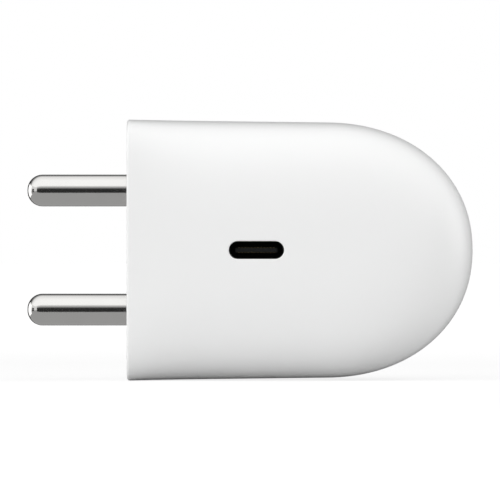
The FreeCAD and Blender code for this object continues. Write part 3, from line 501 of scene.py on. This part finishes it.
def board_finish():
    """Solder mask over copper areas."""
    material, tree, shader, place = new_finish("board_green")
    turned = add_node(tree, "ShaderNodeMapping", {"Vector": place, "Rotation": (math.pi / 2, 0.0, 0.0)})
    bricks = add_node(tree, "ShaderNodeTexBrick", {
        "Vector": turned.outputs[0], "Scale": 1 / COPPER_BLOCK, "Mortar Size": 0.03,
        "Mortar Smooth": 0.1, "Color1": (0.0, 0.0, 0.0, 1.0), "Color2": (1.0, 1.0, 1.0, 1.0),
        "Mortar": (0.3, 0.3, 0.3, 1.0)})
    grain = place_group(tree, grain_group, {"Vector": place, "Grain per metre": 2500.0})
    copper = Field(tree, bricks.outputs["Color"]).most(grain.outputs["Haze"])
    green = mix_colour(tree, copper.socket, MASK_ON_LAMINATE, MASK_ON_COPPER)
    tree.links.new(green, shader.inputs["Base Color"])
    tree.links.new(spread(tree, grain.outputs["Haze"], 0.25, 0.4), shader.inputs["Roughness"])
    bump(tree, copper.socket, COPPER_THICKNESS, shader)
    return material


FINISH["board_green"] = board_finish()
print("board finish:", len(FINISH["board_green"].node_tree.nodes), "nodes")

# %% [markdown]
# ## The moulded tub
# The tub is a crowned shell with a D outline. Its skin follows one rule, so it is grown by Geometry
# Nodes rather than modelled by hand. Every section across the body is a superellipse, squarer at the
# pin face. The outline runs from the pin face along a drafted side, round a superellipse nose and
# back. One grid of points is laid over that rule: its rows follow the outline, and its columns go
# from the front face over the edge to the back face.


# %% Points of the skin
def rounded_square(power, angle):
    """Point of |a|^power + |b|^power = 1 in the direction of an angle."""
    a, b = angle.cos(), angle.sin()
    reach = (abs(a) ** power + abs(b) ** power) ** (-1.0 / power)
    return reach * a, reach * b


def skin_half_height(size, x, inset):
    """Half height of the skin at x, or of a skin that lies inset from it."""
    return size["Body Height"] * 0.5 - size["Side Draft"] * x - inset


def skin_point(tree, size, section_x, foot_x, reach, height, angle, inset):
    """A point over the foot at foot_x, on the section whose squareness belongs to section_x."""
    extra = size["Face Power"] - size["Crown Power"]
    power = size["Crown Power"] + extra * (section_x * -1.0 / size["Power Fade"]).exp()
    across, depth = rounded_square(power, angle)
    point = add_node(tree, "ShaderNodeCombineXYZ", {
        0: foot_x + across * reach,
        1: depth * (size["Body Thickness"] * 0.5 - inset),
        2: across * height})
    return point.outputs[0]


def laid_grid(tree, rows, columns):
    """A grid of points with each point's row and column, both counted from zero."""
    sheet = add_node(tree, "GeometryNodeMeshGrid", {"Vertices X": rows, "Vertices Y": columns})
    index = Field(tree, tree.nodes.new("GeometryNodeInputIndex").outputs[0])
    row = ((index + 0.5) / float(columns)).floor()
    return sheet.outputs["Mesh"], row, index - row * float(columns)


def moved(tree, mesh, point):
    """The mesh with its points at new places."""
    return add_node(tree, "GeometryNodeSetPosition", {"Geometry": mesh, "Position": point}).outputs[0]


# %% Columns: closer together at the crests and corners
COLUMNS = 121
GATHER = 0.55


def crosswise(tree, column):
    """Angle across the skin, from the front crest at minus 90 degrees to the back one at plus 90."""
    share = column * (2.0 / (COLUMNS - 1)) - 1.0
    drawn = (share * (4 * math.pi)).sin() * (GATHER / (4 * math.pi))
    return (share - drawn) * (math.pi / 2)


# %% The sheet of skin, and the rings that join the outer sheet to the inner one
ROW_EASE = 1.5


def skin_sheet(tree, size, start, inset, straight, bend):
    """The whole skin from x = start round the nose, as one grid. straight and bend count its rows."""
    half = straight + bend
    mesh, row, column = laid_grid(tree, 2 * half + 1, COLUMNS)
    from_tip = abs(row - float(half))
    side = (row - float(half)).math("SIGN")
    turn = (1.0 - from_tip / float(bend)).most(0.0) * (math.pi / 2)
    up, along = rounded_square(size["Nose Power"], turn)
    share = ((float(half) - from_tip) / float(straight)).least(1.0) ** ROW_EASE
    foot_x = start + (size["Nose Start"] - start) * share
    reach = along * (size["Body Length"] - inset - size["Nose Start"])
    height = side * up * skin_half_height(size, foot_x + reach, inset)
    return moved(tree, mesh, skin_point(
        tree, size, foot_x, foot_x, reach, height, crosswise(tree, column), inset))


def pick(tree, index, values):
    """The value that belongs to an index: one of a list of Fields or plain numbers."""
    node = add_node(tree, "GeometryNodeIndexSwitch", data_type="FLOAT")
    while len(node.index_switch_items) < len(values):
        node.index_switch_items.new()
    plug(tree, index, node.inputs[0])
    for slot, value in zip(list(node.inputs)[1:], values):
        plug(tree, value, slot)
    return Field(tree, node.outputs[0])


def ring_stack(tree, size, rows):
    """Closed rings one after the other. Each row gives section_x, x, inset and scale about the middle."""
    mesh, row, column = laid_grid(tree, len(rows), 2 * COLUMNS - 1)
    section_x, x, inset, scale = [pick(tree, row, list(values)) for values in zip(*rows)]
    middle = float(COLUMNS - 1)
    side = (column - middle).math("SIGN")
    folded = middle - abs(column - middle)
    height = side * skin_half_height(size, section_x, inset)
    point = skin_point(tree, size, section_x, 0.0, 0.0, height, crosswise(tree, folded), inset)
    shrunk = add_node(tree, "ShaderNodeVectorMath", {0: point, "Scale": scale}, operation="SCALE")
    along = add_node(tree, "ShaderNodeCombineXYZ", {0: x})
    placed = add_node(tree, "ShaderNodeVectorMath", {0: shrunk.outputs[0], 1: along.outputs[0]})
    return moved(tree, mesh, placed.outputs[0])


def quarter(steps):
    """Sine and cosine at even steps of a quarter turn."""
    turns = [math.pi / 2 * i / steps for i in range(steps + 1)]
    return [(math.sin(turn), math.cos(turn)) for turn in turns]


def joined(tree, meshes):
    """Several meshes as one."""
    node = tree.nodes.new("GeometryNodeJoinGeometry")
    for mesh in meshes:
        tree.links.new(mesh, node.inputs[0])
    return node.outputs[0]


def flipped(tree, mesh):
    """The mesh turned inside out."""
    return add_node(tree, "GeometryNodeFlipFaces", {"Mesh": mesh}).outputs[0]


def carve(tree, base, tools, operation="DIFFERENCE"):
    """The base with tools cut out of it, or joined to it, as closed solids."""
    node = add_node(tree, "GeometryNodeMeshBoolean", operation=operation, solver="EXACT")
    if operation == "DIFFERENCE":
        tree.links.new(base, node.inputs["Mesh 1"])
    else:
        tree.links.new(base, node.inputs["Mesh 2"])
    for tool in tools:
        tree.links.new(tool, node.inputs["Mesh 2"])
    return node.outputs["Mesh"]


# %% [markdown]
# ## Plugs for the port, the bosses and the bores
# A hole with a soft edge is cut by a plug that flares where it meets the surface. The port's plug is
# a stack of slot outlines, and a bore's plug is a stack of circles. The first and last outline of
# each stack shrink to a point, which closes it.


# %% Slot-shaped and round stacks
ARC_STEPS = 14
CIRCLE_STEPS = 96


def slot_stack(tree, centre_x, rows):
    """A closed stack of slot outlines along Y. Each row gives width, height and y."""
    around = 2 * (ARC_STEPS + 1)
    rows = [(0.0, 0.0, rows[0][2]), *rows, (0.0, 0.0, rows[-1][2])]
    mesh, row, column = laid_grid(tree, len(rows), around + 1)
    width, height, y = [pick(tree, row, list(values)) for values in zip(*rows)]
    step = column - (column / float(around)).floor() * float(around)
    arc = ((step + 0.5) / float(ARC_STEPS + 1)).floor()
    share = (step - arc * float(ARC_STEPS + 1)) / float(ARC_STEPS)
    angle = (share + arc - 0.5) * math.pi
    middle = (0.5 - arc) * (width - height)
    point = add_node(tree, "ShaderNodeCombineXYZ", {
        0: angle.cos() * height * 0.5 + middle + centre_x, 1: y, 2: angle.sin() * height * 0.5})
    return flipped(tree, moved(tree, mesh, point.outputs[0]))


def turned_stack(tree, level, rows):
    """A closed stack of circles along X at height level. Each row gives radius and x."""
    rows = [(0.0, rows[0][1]), *rows, (0.0, rows[-1][1])]
    mesh, row, column = laid_grid(tree, len(rows), CIRCLE_STEPS + 1)
    radius, x = [pick(tree, row, list(values)) for values in zip(*rows)]
    angle = column * (2 * math.pi / CIRCLE_STEPS)
    point = add_node(tree, "ShaderNodeCombineXYZ", {
        0: x, 1: angle.cos() * radius, 2: angle.sin() * radius + level})
    return flipped(tree, moved(tree, mesh, point.outputs[0]))


def box_between(tree, low, high):
    """A box between two corners of plain numbers, in metres."""
    size = [b - a for a, b in zip(low, high)]
    middle = [(a + b) / 2 for a, b in zip(low, high)]
    cube = add_node(tree, "GeometryNodeMeshCube", {"Size": size})
    shifted = add_node(tree, "GeometryNodeTransform", {"Geometry": cube.outputs[0], "Translation": middle})
    return shifted.outputs[0]


# %% [markdown]
# The tub is put together from the outer sheet, the rings round its open end and the inner sheet.
# The port is cut through it, and through the shroud behind the wall that steadies the socket.

# %% Grow the tub
tub_sizes = {
    **SKIN,
    "Edge Round": 0.1 * MM,
    "Port Width": PORT_WIDTH,
    "Port Height": PORT_HEIGHT,
    "Port Lip": 0.8 * MM,
    "Port Flare": 0.16 * MM,
    "Room Width": 9.24 * MM,
    "Room Height": 3.56 * MM,
}
tub_tree, size, finish = geometry_tree("Moulded Tub", tub_sizes)

rim_rows = []
for rise, run in quarter(6):
    back = size["Rim Round"] * (1 - rise)
    rim_rows.append((back, back, size["Rim Round"] * (1 - run), 1.0))
for rise, run in quarter(3):
    seat = size["Rim Wall"] - size["Edge Round"] * (1 - rise)
    rim_rows.append((size["Plate Thickness"], size["Edge Round"] * (1 - run), seat, 1.0))
rim_rows.append((size["Plate Thickness"], size["Plate Thickness"], size["Rim Wall"], 1.0))
rim_rows.append((size["Plate Thickness"], size["Plate Thickness"], size["Wall"], 1.0))

OUTER_ROWS = (36, 60)
INNER_ROWS = (14, 24)
outer = skin_sheet(tub_tree, size, size["Rim Round"], 0.0, *OUTER_ROWS)
inner = skin_sheet(tub_tree, size, size["Plate Thickness"], size["Wall"], *INNER_ROWS)
shell = joined(tub_tree, [flipped(tub_tree, outer), ring_stack(tub_tree, size, rim_rows), inner])
shell = merged_points(tub_tree, shell)

front_y, back_y = tub_low.y, tub_high.y
RIB_START, RIB_END = 9 * MM, 44 * MM
RIB_CREST = 10.3 * MM
RIB_ROOT = back_y - 1.4 * MM
RIB_LEVEL = 10 * MM
RIB_HALF = 0.6 * MM
rib_boxes = [
    box_between(tub_tree, (RIB_START, RIB_CREST, z - RIB_HALF), (RIB_END, RIB_ROOT, z + RIB_HALF))
    for z in (RIB_LEVEL, -RIB_LEVEL)]
SHROUD_HALF_WIDTH = 5.77 * MM
SHROUD_HALF_HEIGHT = 2.93 * MM
shroud_box = box_between(
    tub_tree, (PORT_CENTRE - SHROUD_HALF_WIDTH, front_y + 1.2 * MM, -SHROUD_HALF_HEIGHT),
    (PORT_CENTRE + SHROUD_HALF_WIDTH, front_y + 3.2 * MM, SHROUD_HALF_HEIGHT))

lip_y = front_y + size["Port Lip"]
mouth_rows = [(size["Port Width"], size["Port Height"], front_y * 0.5)]
FLARE_STEPS = 5
FLARE_TURN = math.radians(78)
for i in range(FLARE_STEPS + 1):
    turn = FLARE_TURN * i / FLARE_STEPS
    grown = size["Port Flare"] * (2 - 2 * math.cos(turn))
    y = front_y + size["Port Flare"] * (1 - math.sin(turn))
    mouth_rows.append((size["Port Width"] + grown, size["Port Height"] + grown, y))
past = size["Port Flare"] * 0.4
mouth_rows.append((
    mouth_rows[-1][0] + past * 2, mouth_rows[-1][1] + past * 2,
    mouth_rows[-1][2] - past * (1 / math.tan(FLARE_TURN))))
mouth = slot_stack(tub_tree, PORT_CENTRE, mouth_rows)
room = slot_stack(tub_tree, PORT_CENTRE, [
    (size["Room Width"], size["Room Height"], 0.0), (size["Room Width"], size["Room Height"], lip_y)])
tub = carve(tub_tree, shell, [mouth, room])
shroud = carve(tub_tree, shroud_box, [mouth, room])
close_tree(tub_tree, joined(tub_tree, [tub, shroud, *rib_boxes]), finish)
tub_piece = grow("housing_shell", tub_tree, tub_sizes, FINISH["white_housing"])

# %% [markdown]
# ## The end plate
# The plate drops into the rim's seat with a hairline gap. It is a flat plug of the same outline, with
# softened edges, two bosses behind it, and a stepped bore through each for a pin. The bores have
# soft mouths too, because a pressed-in pin never leaves a razor edge in plastic.

# %% Grow the end plate
PIN_LEVELS = ((pin_low.z + pin_high.z) / 2, -(pin_low.z + pin_high.z) / 2)
plate_sizes = {
    **SKIN,
    "Edge Round": 0.1 * MM,
    "Boss Radius": 4.7 * MM,
    "Boss Reach": plate_high.x,
    "Entry Radius": 2.59 * MM,
    "Entry Depth": 0.6 * MM,
    "Bore Radius": 2.35 * MM,
    "Socket Radius": 3.4 * MM,
}
plate_tree, size, finish = geometry_tree("End Plate", plate_sizes)

seat = size["Rim Wall"] + size["Seam Gap"]
plate_rows = [(size["Plate Thickness"], 0.0, seat, 0.0)]
for rise, run in quarter(3):
    inset = seat + size["Edge Round"] * (1 - rise)
    plate_rows.append((size["Plate Thickness"], size["Edge Round"] * (1 - run), inset, 1.0))
plate_rows.append((size["Plate Thickness"], size["Plate Thickness"], seat, 1.0))
plate_rows.append((size["Plate Thickness"], size["Plate Thickness"], seat, 0.0))
plate_blank = ring_stack(plate_tree, size, plate_rows)

bosses = []
bores = []
for level in PIN_LEVELS:
    reach = size["Boss Reach"]
    bosses.append(turned_stack(plate_tree, level, [
        (size["Boss Radius"], size["Plate Thickness"] - 0.5 * MM),
        (size["Boss Radius"], reach - 0.2 * MM),
        (size["Boss Radius"] - 0.2 * MM, reach)]))
    bore_rows = [(size["Entry Radius"] + 0.3 * MM, -0.2 * MM)]
    for rise, run in quarter(3):
        bore_rows.append((
            size["Entry Radius"] + size["Edge Round"] * (1 - rise), size["Edge Round"] * (1 - run)))
    bore_rows += [
        (size["Entry Radius"], size["Entry Depth"]),
        (size["Bore Radius"], size["Entry Depth"]),
        (size["Bore Radius"], size["Plate Thickness"]),
        (size["Socket Radius"], size["Plate Thickness"]),
        (size["Socket Radius"], reach + 1 * MM)]
    bores.append(turned_stack(plate_tree, level, bore_rows))
plate_solid = carve(plate_tree, carve(plate_tree, plate_blank, bosses, "UNION"), bores)
close_tree(plate_tree, plate_solid, finish)
plate_piece = grow("end_plate", plate_tree, plate_sizes, FINISH["white_plate"])

# %% [markdown]
# ## Pins
# A plug pin is turned from brass bar and plated with bright nickel: a prong with a dome at its tip,
# a shank through the plate, a collar that stops it being pulled out, and a thin tail for the contact
# strip. Both pins are the same part at two levels, so one tree with a Level input makes both. A ring
# of points beside the dome and beside the chamfer keeps the smooth shading of the long side straight.

# %% Grow the pins
pin_sizes = {
    "Level": PIN_LEVELS[0],
    "Reach": -pin_low.x,
    "Radius": 2.54 * MM,
    "Dome": 2.4 * MM,
    "Entry": 0.1 * MM,
    "Shank Radius": 2.3 * MM,
    "Collar Start": 2.05 * MM,
    "Collar Radius": (pin_high.y - pin_low.y) / 2,
    "Collar End": 3.35 * MM,
    "Tail Radius": 1.5 * MM,
    "Tail End": pin_high.x,
    "Chamfer": 0.15 * MM,
}
DOME_STEPS = 20
pin_tree, size, finish = geometry_tree("Turned Pin", pin_sizes)
pin_rows = []
for rise, run in quarter(DOME_STEPS):
    pin_rows.append((
        size["Radius"] - size["Dome"] * (1 - rise), size["Dome"] * (1 - run) - size["Reach"]))
chamfer = size["Chamfer"]
pin_rows += [
    (size["Radius"], size["Dome"] + chamfer - size["Reach"]),
    (size["Radius"], size["Entry"] - chamfer * 2),
    (size["Radius"], size["Entry"] - chamfer),
    (size["Radius"] - chamfer * 0.3, size["Entry"]),
    (size["Shank Radius"], size["Entry"]),
    (size["Shank Radius"], size["Collar Start"]),
    (size["Collar Radius"] - chamfer, size["Collar Start"]),
    (size["Collar Radius"], size["Collar Start"] + chamfer),
    (size["Collar Radius"], size["Collar End"] - chamfer),
    (size["Collar Radius"] - chamfer, size["Collar End"]),
    (size["Tail Radius"], size["Collar End"]),
    (size["Tail Radius"], size["Tail End"] - chamfer),
    (size["Tail Radius"] - chamfer, size["Tail End"])]
close_tree(pin_tree, turned_stack(pin_tree, size["Level"], pin_rows), finish)
pin_pieces = {
    node: grow(node + "_turned", pin_tree, {**pin_sizes, "Level": level}, FINISH["nickel_pin"])
    for node, level in zip(("line_pin", "neutral_pin"), PIN_LEVELS)}

# %% [markdown]
# ## Windings of the choke
# The choke's ring carries two coils of enamelled copper wire, one on each side. A coil follows a rule:
# the wire goes round the ring's square section while it creeps along the ring. The tree lays that
# path as a curve and gives it the wire's thickness.

# %% Grow the choke's coils
RING_CENTRE = (ring_low + ring_high) / 2
coil_sizes = {
    "Ring Inside": 2.6 * MM,
    "Ring Outside": (ring_high.x - ring_low.x) / 2,
    "Ring Half Width": (ring_high.z - ring_low.z) / 2,
    "Wire": 0.56 * MM,
    "Turns": 9.0,
    "Sweep": math.radians(124),
    "Start": math.radians(118),
}
POINTS_PER_TURN = 28
WIRE_SIDES = 10
LOOP_POWER = 5.0
ENAMEL_GAP = 0.06 * MM
HALF_RING = math.pi
coil_tree, size, finish = geometry_tree("Ring Coil", coil_sizes)
count = int(POINTS_PER_TURN * coil_sizes["Turns"]) + 1
line = add_node(coil_tree, "GeometryNodeMeshLine", {"Count": count})
step = Field(coil_tree, coil_tree.nodes.new("GeometryNodeInputIndex").outputs[0]) / float(count - 1)
across, along = rounded_square(LOOP_POWER, step * size["Turns"] * (2 * math.pi))
clear = size["Wire"] * 0.5 + ENAMEL_GAP
radius = (size["Ring Outside"] + size["Ring Inside"]) * 0.5 + across * (
    (size["Ring Outside"] - size["Ring Inside"]) * 0.5 + clear)
bearing = size["Start"] + size["Sweep"] * step
spot = add_node(coil_tree, "ShaderNodeCombineXYZ", {
    0: bearing.cos() * radius + RING_CENTRE.x,
    1: bearing.sin() * radius + RING_CENTRE.y,
    2: along * (size["Ring Half Width"] + clear) + RING_CENTRE.z})
wound = moved(coil_tree, line.outputs[0], spot.outputs[0])
path = add_node(coil_tree, "GeometryNodeMeshToCurve", {"Mesh": wound})
section = add_node(
    coil_tree, "GeometryNodeCurvePrimitiveCircle",
    {"Resolution": WIRE_SIDES, "Radius": size["Wire"] * 0.5})
wire = add_node(coil_tree, "GeometryNodeCurveToMesh", {
    "Curve": path.outputs[0], "Profile Curve": section.outputs[0], "Fill Caps": True})
close_tree(coil_tree, wire.outputs[0], finish)
coil_pieces = [
    grow(name, coil_tree, {**coil_sizes, "Start": coil_sizes["Start"] + offset}, FINISH["copper_wire"])
    for name, offset in (("choke_coil_left", 0.0), ("choke_coil_right", HALF_RING))]

# %% [markdown]
# ## Dressing the CAD pieces
# The other pieces are right as CAD made them: small blocks, strips, cans and boards. Each keeps its
# mesh and gets the finish of its slot in the record. The pieces grown above take the place of their
# CAD nodes, which stay in the simulation but aren't shown. The pins are hidden from reflections,
# because in the picture neither pin shows in the other.

# %% Put finishes on, and say what stands for what
slot_of = {row["node"]: row["material_slot"] for row in frame["record"]["subparts"]}
for node, item in frame["nodes"].items():
    item.data.materials.clear()
    item.data.materials.append(FINISH[slot_of[node]])

stand_ins = [
    ("housing", [tub_piece]),
    ("pin_plate", [plate_piece]),
    ("line_pin", [pin_pieces["line_pin"]]),
    ("neutral_pin", [pin_pieces["neutral_pin"]]),
    ("choke_windings", coil_pieces),
]
for node, pieces in stand_ins:
    for piece in pieces:
        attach(piece, "root")
        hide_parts(node)
for piece in pin_pieces.values():
    piece.visible_glossy = False
print(len(frame["nodes"]) - len(stand_ins), "CAD meshes dressed,", len(stand_ins), "replaced")

# %% [markdown]
# ## Studio
# The object stands on its long edge on a pale floor. A bright metal pin shows nothing but the room
# around it, so the room is laid out for the pins: a softbox overhead gives them their bright upper
# half, a black card in front gives the dark line along the middle, and a grey sheet low down gives the
# quiet lower half. Cards and sheet are seen by reflections only. White plastic hardly reflects: it is
# lit by the softbox and by wide fills, which reflections don't see.

# %% Materials of the studio
ALL_ROUND = ("Is Camera Ray", "Is Glossy Ray", "Is Transmission Ray")


def studio_material(name):
    """A material that has an output node alone. Returns it, its tree and the output's surface socket."""
    material = bpy.data.materials.new(name)
    material.use_nodes = True
    tree = material.node_tree
    tree.nodes.clear()
    return material, tree, tree.nodes.new("ShaderNodeOutputMaterial").inputs["Surface"]


def ray_is(tree, kinds):
    """One for rays of these kinds, and nought for others."""
    path = tree.nodes.new("ShaderNodeLightPath")
    total = Field(tree, path.outputs[kinds[0]])
    for kind in kinds[1:]:
        total = total.most(path.outputs[kind])
    return total


def emission(tree, strength):
    """Plain white light of a strength."""
    node = add_node(tree, "ShaderNodeEmission", {"Color": (1.0, 1.0, 1.0, 1.0), "Strength": strength})
    return node.outputs[0]


def quad(name, corners, material):
    """A flat stage piece."""
    data = bpy.data.meshes.new(name)
    data.from_pydata(corners, [], [(0, 1, 2, 3)])
    data.materials.append(material)
    item = bpy.data.objects.new(name, data)
    scene.collection.objects.link(item)
    return item


# %% [markdown]
# The floor is white where the camera looks at it, and still holds a soft shadow under the object:
# near the object part of its white is light that it gets from the lamps, and farther off, where the
# lamps don't reach, all of it is its own. To light that bounces it is a plain pale grey.

# %% Floor
FLOOR_HALF = 8.0
FLOOR_GREY = 0.6
FLOOR_GREY_SEEN = 0.25
OWN_LIGHT_NEAR = 0.8
OWN_LIGHT_START = 0.15
OWN_LIGHT_FULL = 0.6
floor_paint, tree, surface = studio_material("pale_floor")
place = tree.nodes.new("ShaderNodeTexCoord").outputs["Object"]
away = add_node(tree, "ShaderNodeVectorMath", {0: place}, operation="LENGTH").outputs["Value"]
own_light = add_node(tree, "ShaderNodeMapRange", {
    "Value": away, "From Min": OWN_LIGHT_START, "From Max": OWN_LIGHT_FULL,
    "To Min": OWN_LIGHT_NEAR, "To Max": 1.0}).outputs[0]
glow = Field(tree, own_light) * ray_is(tree, ALL_ROUND)
grey = FLOOR_GREY - ray_is(tree, ALL_ROUND) * (FLOOR_GREY - FLOOR_GREY_SEEN)
shade = add_node(tree, "ShaderNodeCombineColor", {"Red": grey, "Green": grey, "Blue": grey})
lit = add_node(tree, "ShaderNodeBsdfDiffuse", {"Color": shade.outputs[0]})
both = add_node(tree, "ShaderNodeAddShader", {0: lit.outputs[0], 1: emission(tree, glow)})
tree.links.new(both.outputs[0], surface)
CORNER_SIGNS = ((-1, -1), (1, -1), (1, 1), (-1, 1))
floor_corners = [(x * FLOOR_HALF, y * FLOOR_HALF, cad_box[0].z) for x, y in CORNER_SIGNS]
floor = quad("floor", floor_corners, floor_paint)
floor.visible_glossy = False

# %% [markdown]
# The air is white to the camera, to reflections and through glass. As a light it is faint, so that
# the lamps alone shape the body.

# %% World
AIR_LIGHT = 0.05
world = bpy.data.worlds.new("studio_air")
scene.world = world
world.use_nodes = True
tree = world.node_tree
tree.nodes.clear()
air = add_node(tree, "ShaderNodeBackground", {
    "Color": (1.0, 1.0, 1.0, 1.0), "Strength": AIR_LIGHT + ray_is(tree, ALL_ROUND) * (1 - AIR_LIGHT)})
tree.links.new(air.outputs[0], tree.nodes.new("ShaderNodeOutputWorld").inputs["Surface"])

# %% [markdown]
# The panels are what the pins reflect. Seen from the object, elevation is counted up from the
# camera's side: the black card in front is solid to 11 degrees and fades out at 31, where the
# softbox's face takes over, and the black card behind fades in from 118 degrees on. The soft
# edges of the cards give the pins their soft shading. The face of a second softbox on the left, with
# a dark gap before it, makes the small white oval on each dome.

# %% Panels that only reflections see
SHEET_LEVEL = -0.6
CARD_DISTANCE = 1.6
REAR_DISTANCE = 1.2
CARD_BLACK = 0.035
LAMP_LEVEL = 0.5
LAMP_WIDTH = 2.4
LAMP_FRONT = -0.77
LAMP_BACK = 0.27
FRONT_CARD_FOOT, FRONT_CARD_SOLID, FRONT_CARD_CLEAR = -17, 11, 31
REAR_CARD_SOLID, REAR_CARD_CLEAR = 30, 62


def card_height(distance, degrees):
    """How high a card is at an elevation, as seen from the object."""
    return distance * math.tan(math.radians(degrees))


def graded(tree, rule):
    """A plain number, or one that runs from first to last between two places along an axis."""
    if isinstance(rule, float):
        return rule
    axis, start, end, first, last = rule
    place = tree.nodes.new("ShaderNodeTexCoord").outputs["Object"]
    along = add_node(tree, "ShaderNodeSeparateXYZ", {0: place}).outputs[axis]
    return add_node(tree, "ShaderNodeMapRange", {
        "Value": along, "From Min": start, "From Max": end, "To Min": first, "To Max": last}).outputs[0]


def panel(name, corners, shine, clear=0.0):
    """A stage piece for reflections alone. shine is its light, and clear how see-through it is."""
    material, tree, surface = studio_material(name + "_face")
    window = tree.nodes.new("ShaderNodeBsdfTransparent").outputs[0]
    blend = add_node(tree, "ShaderNodeMixShader", {
        0: graded(tree, clear), 1: emission(tree, graded(tree, shine)), 2: window})
    tree.links.new(blend.outputs[0], surface)
    item = quad(name, corners, material)
    item.visible_camera = False
    item.visible_diffuse = False
    item.visible_shadow = False


def lying(left, right, front, back, z):
    """Corners of a level sheet."""
    return [(left, front, z), (right, front, z), (right, back, z), (left, back, z)]


def upright(left, right, y, low, high):
    """Corners of an upright sheet that faces along Y."""
    return [(left, y, low), (right, y, low), (right, y, high), (left, y, high)]


def facing(azimuth, distance, half_width, half_height):
    """Corners of an upright sheet that faces the object from an azimuth, counted left of the camera."""
    turn = math.radians(azimuth)
    away = Vector((-math.sin(turn), -math.cos(turn), 0.0)) * distance
    side = Vector((-away.y, away.x, 0.0)).normalized() * half_width
    up = Vector((0.0, 0.0, half_height))
    return [away - side - up, away + side - up, away + side + up, away - side + up]


front_foot = card_height(CARD_DISTANCE, FRONT_CARD_FOOT)
front_solid = card_height(CARD_DISTANCE, FRONT_CARD_SOLID)
front_clear = card_height(CARD_DISTANCE, FRONT_CARD_CLEAR)
rear_solid = card_height(REAR_DISTANCE, REAR_CARD_SOLID)
rear_clear = card_height(REAR_DISTANCE, REAR_CARD_CLEAR)
panel("low_sheet", lying(-FLOOR_HALF, FLOOR_HALF, -FLOOR_HALF, FLOOR_HALF, SHEET_LEVEL), 0.47)
panel("front_card", upright(-1.49, 3.0, -CARD_DISTANCE, front_foot, front_clear),
      CARD_BLACK, ("Z", front_solid, front_clear, 0.0, 1.0))
panel("rear_card", upright(-3.0, 3.0, REAR_DISTANCE, SHEET_LEVEL, rear_clear),
      CARD_BLACK, ("Z", rear_solid, rear_clear, 0.0, 1.0))
panel("overhead_face", lying(-LAMP_WIDTH / 2, LAMP_WIDTH / 2, LAMP_FRONT, LAMP_BACK, LAMP_LEVEL),
      ("Y", -0.1, LAMP_BACK, 1.45, 1.1))
panel("left_face", facing(116, 0.9, 0.35, 0.34), 1.75)
panel("left_gap", facing(77, 0.8, 0.13, 0.13), CARD_BLACK)

# %% [markdown]
# The lamps light the white plastic. Each is given by how bright its surface looks, so that lamps of
# different sizes compare. They are kept low enough for the body to stay under full white as the
# camera sees it.


# %% Lamps
def softbox(name, place, target, width, height, radiance):
    """A rectangular lamp aimed at a point. radiance is how bright its surface looks."""
    data = bpy.data.lights.new(name, "AREA")
    data.shape = "RECTANGLE"
    data.size = width
    data.size_y = height
    data.energy = radiance * math.pi * width * height
    item = bpy.data.objects.new(name, data)
    item.location = place
    item.rotation_mode = "QUATERNION"
    item.rotation_quaternion = (Vector(target) - Vector(place)).to_track_quat("-Z", "Y")
    item.visible_glossy = False
    scene.collection.objects.link(item)


BODY_MIDDLE = (0.02, 0.0, 0.0)
lamp_y = (LAMP_FRONT + LAMP_BACK) / 2
lamp_depth = LAMP_BACK - LAMP_FRONT
softbox("overhead", (0.0, lamp_y, LAMP_LEVEL), (0.0, lamp_y, 0.0), LAMP_WIDTH, lamp_depth, 0.86)
softbox("front_fill", (0.02, -1.5, 0.3), BODY_MIDDLE, 3.0, 0.7, 1.82)
softbox("left_fill", (-1.3, -0.7, 0.3), BODY_MIDDLE, 0.9, 0.6, 5.2)
softbox("right_fill", (1.1, 0.0, 0.2), BODY_MIDDLE, 0.7, 0.4, 4.6)
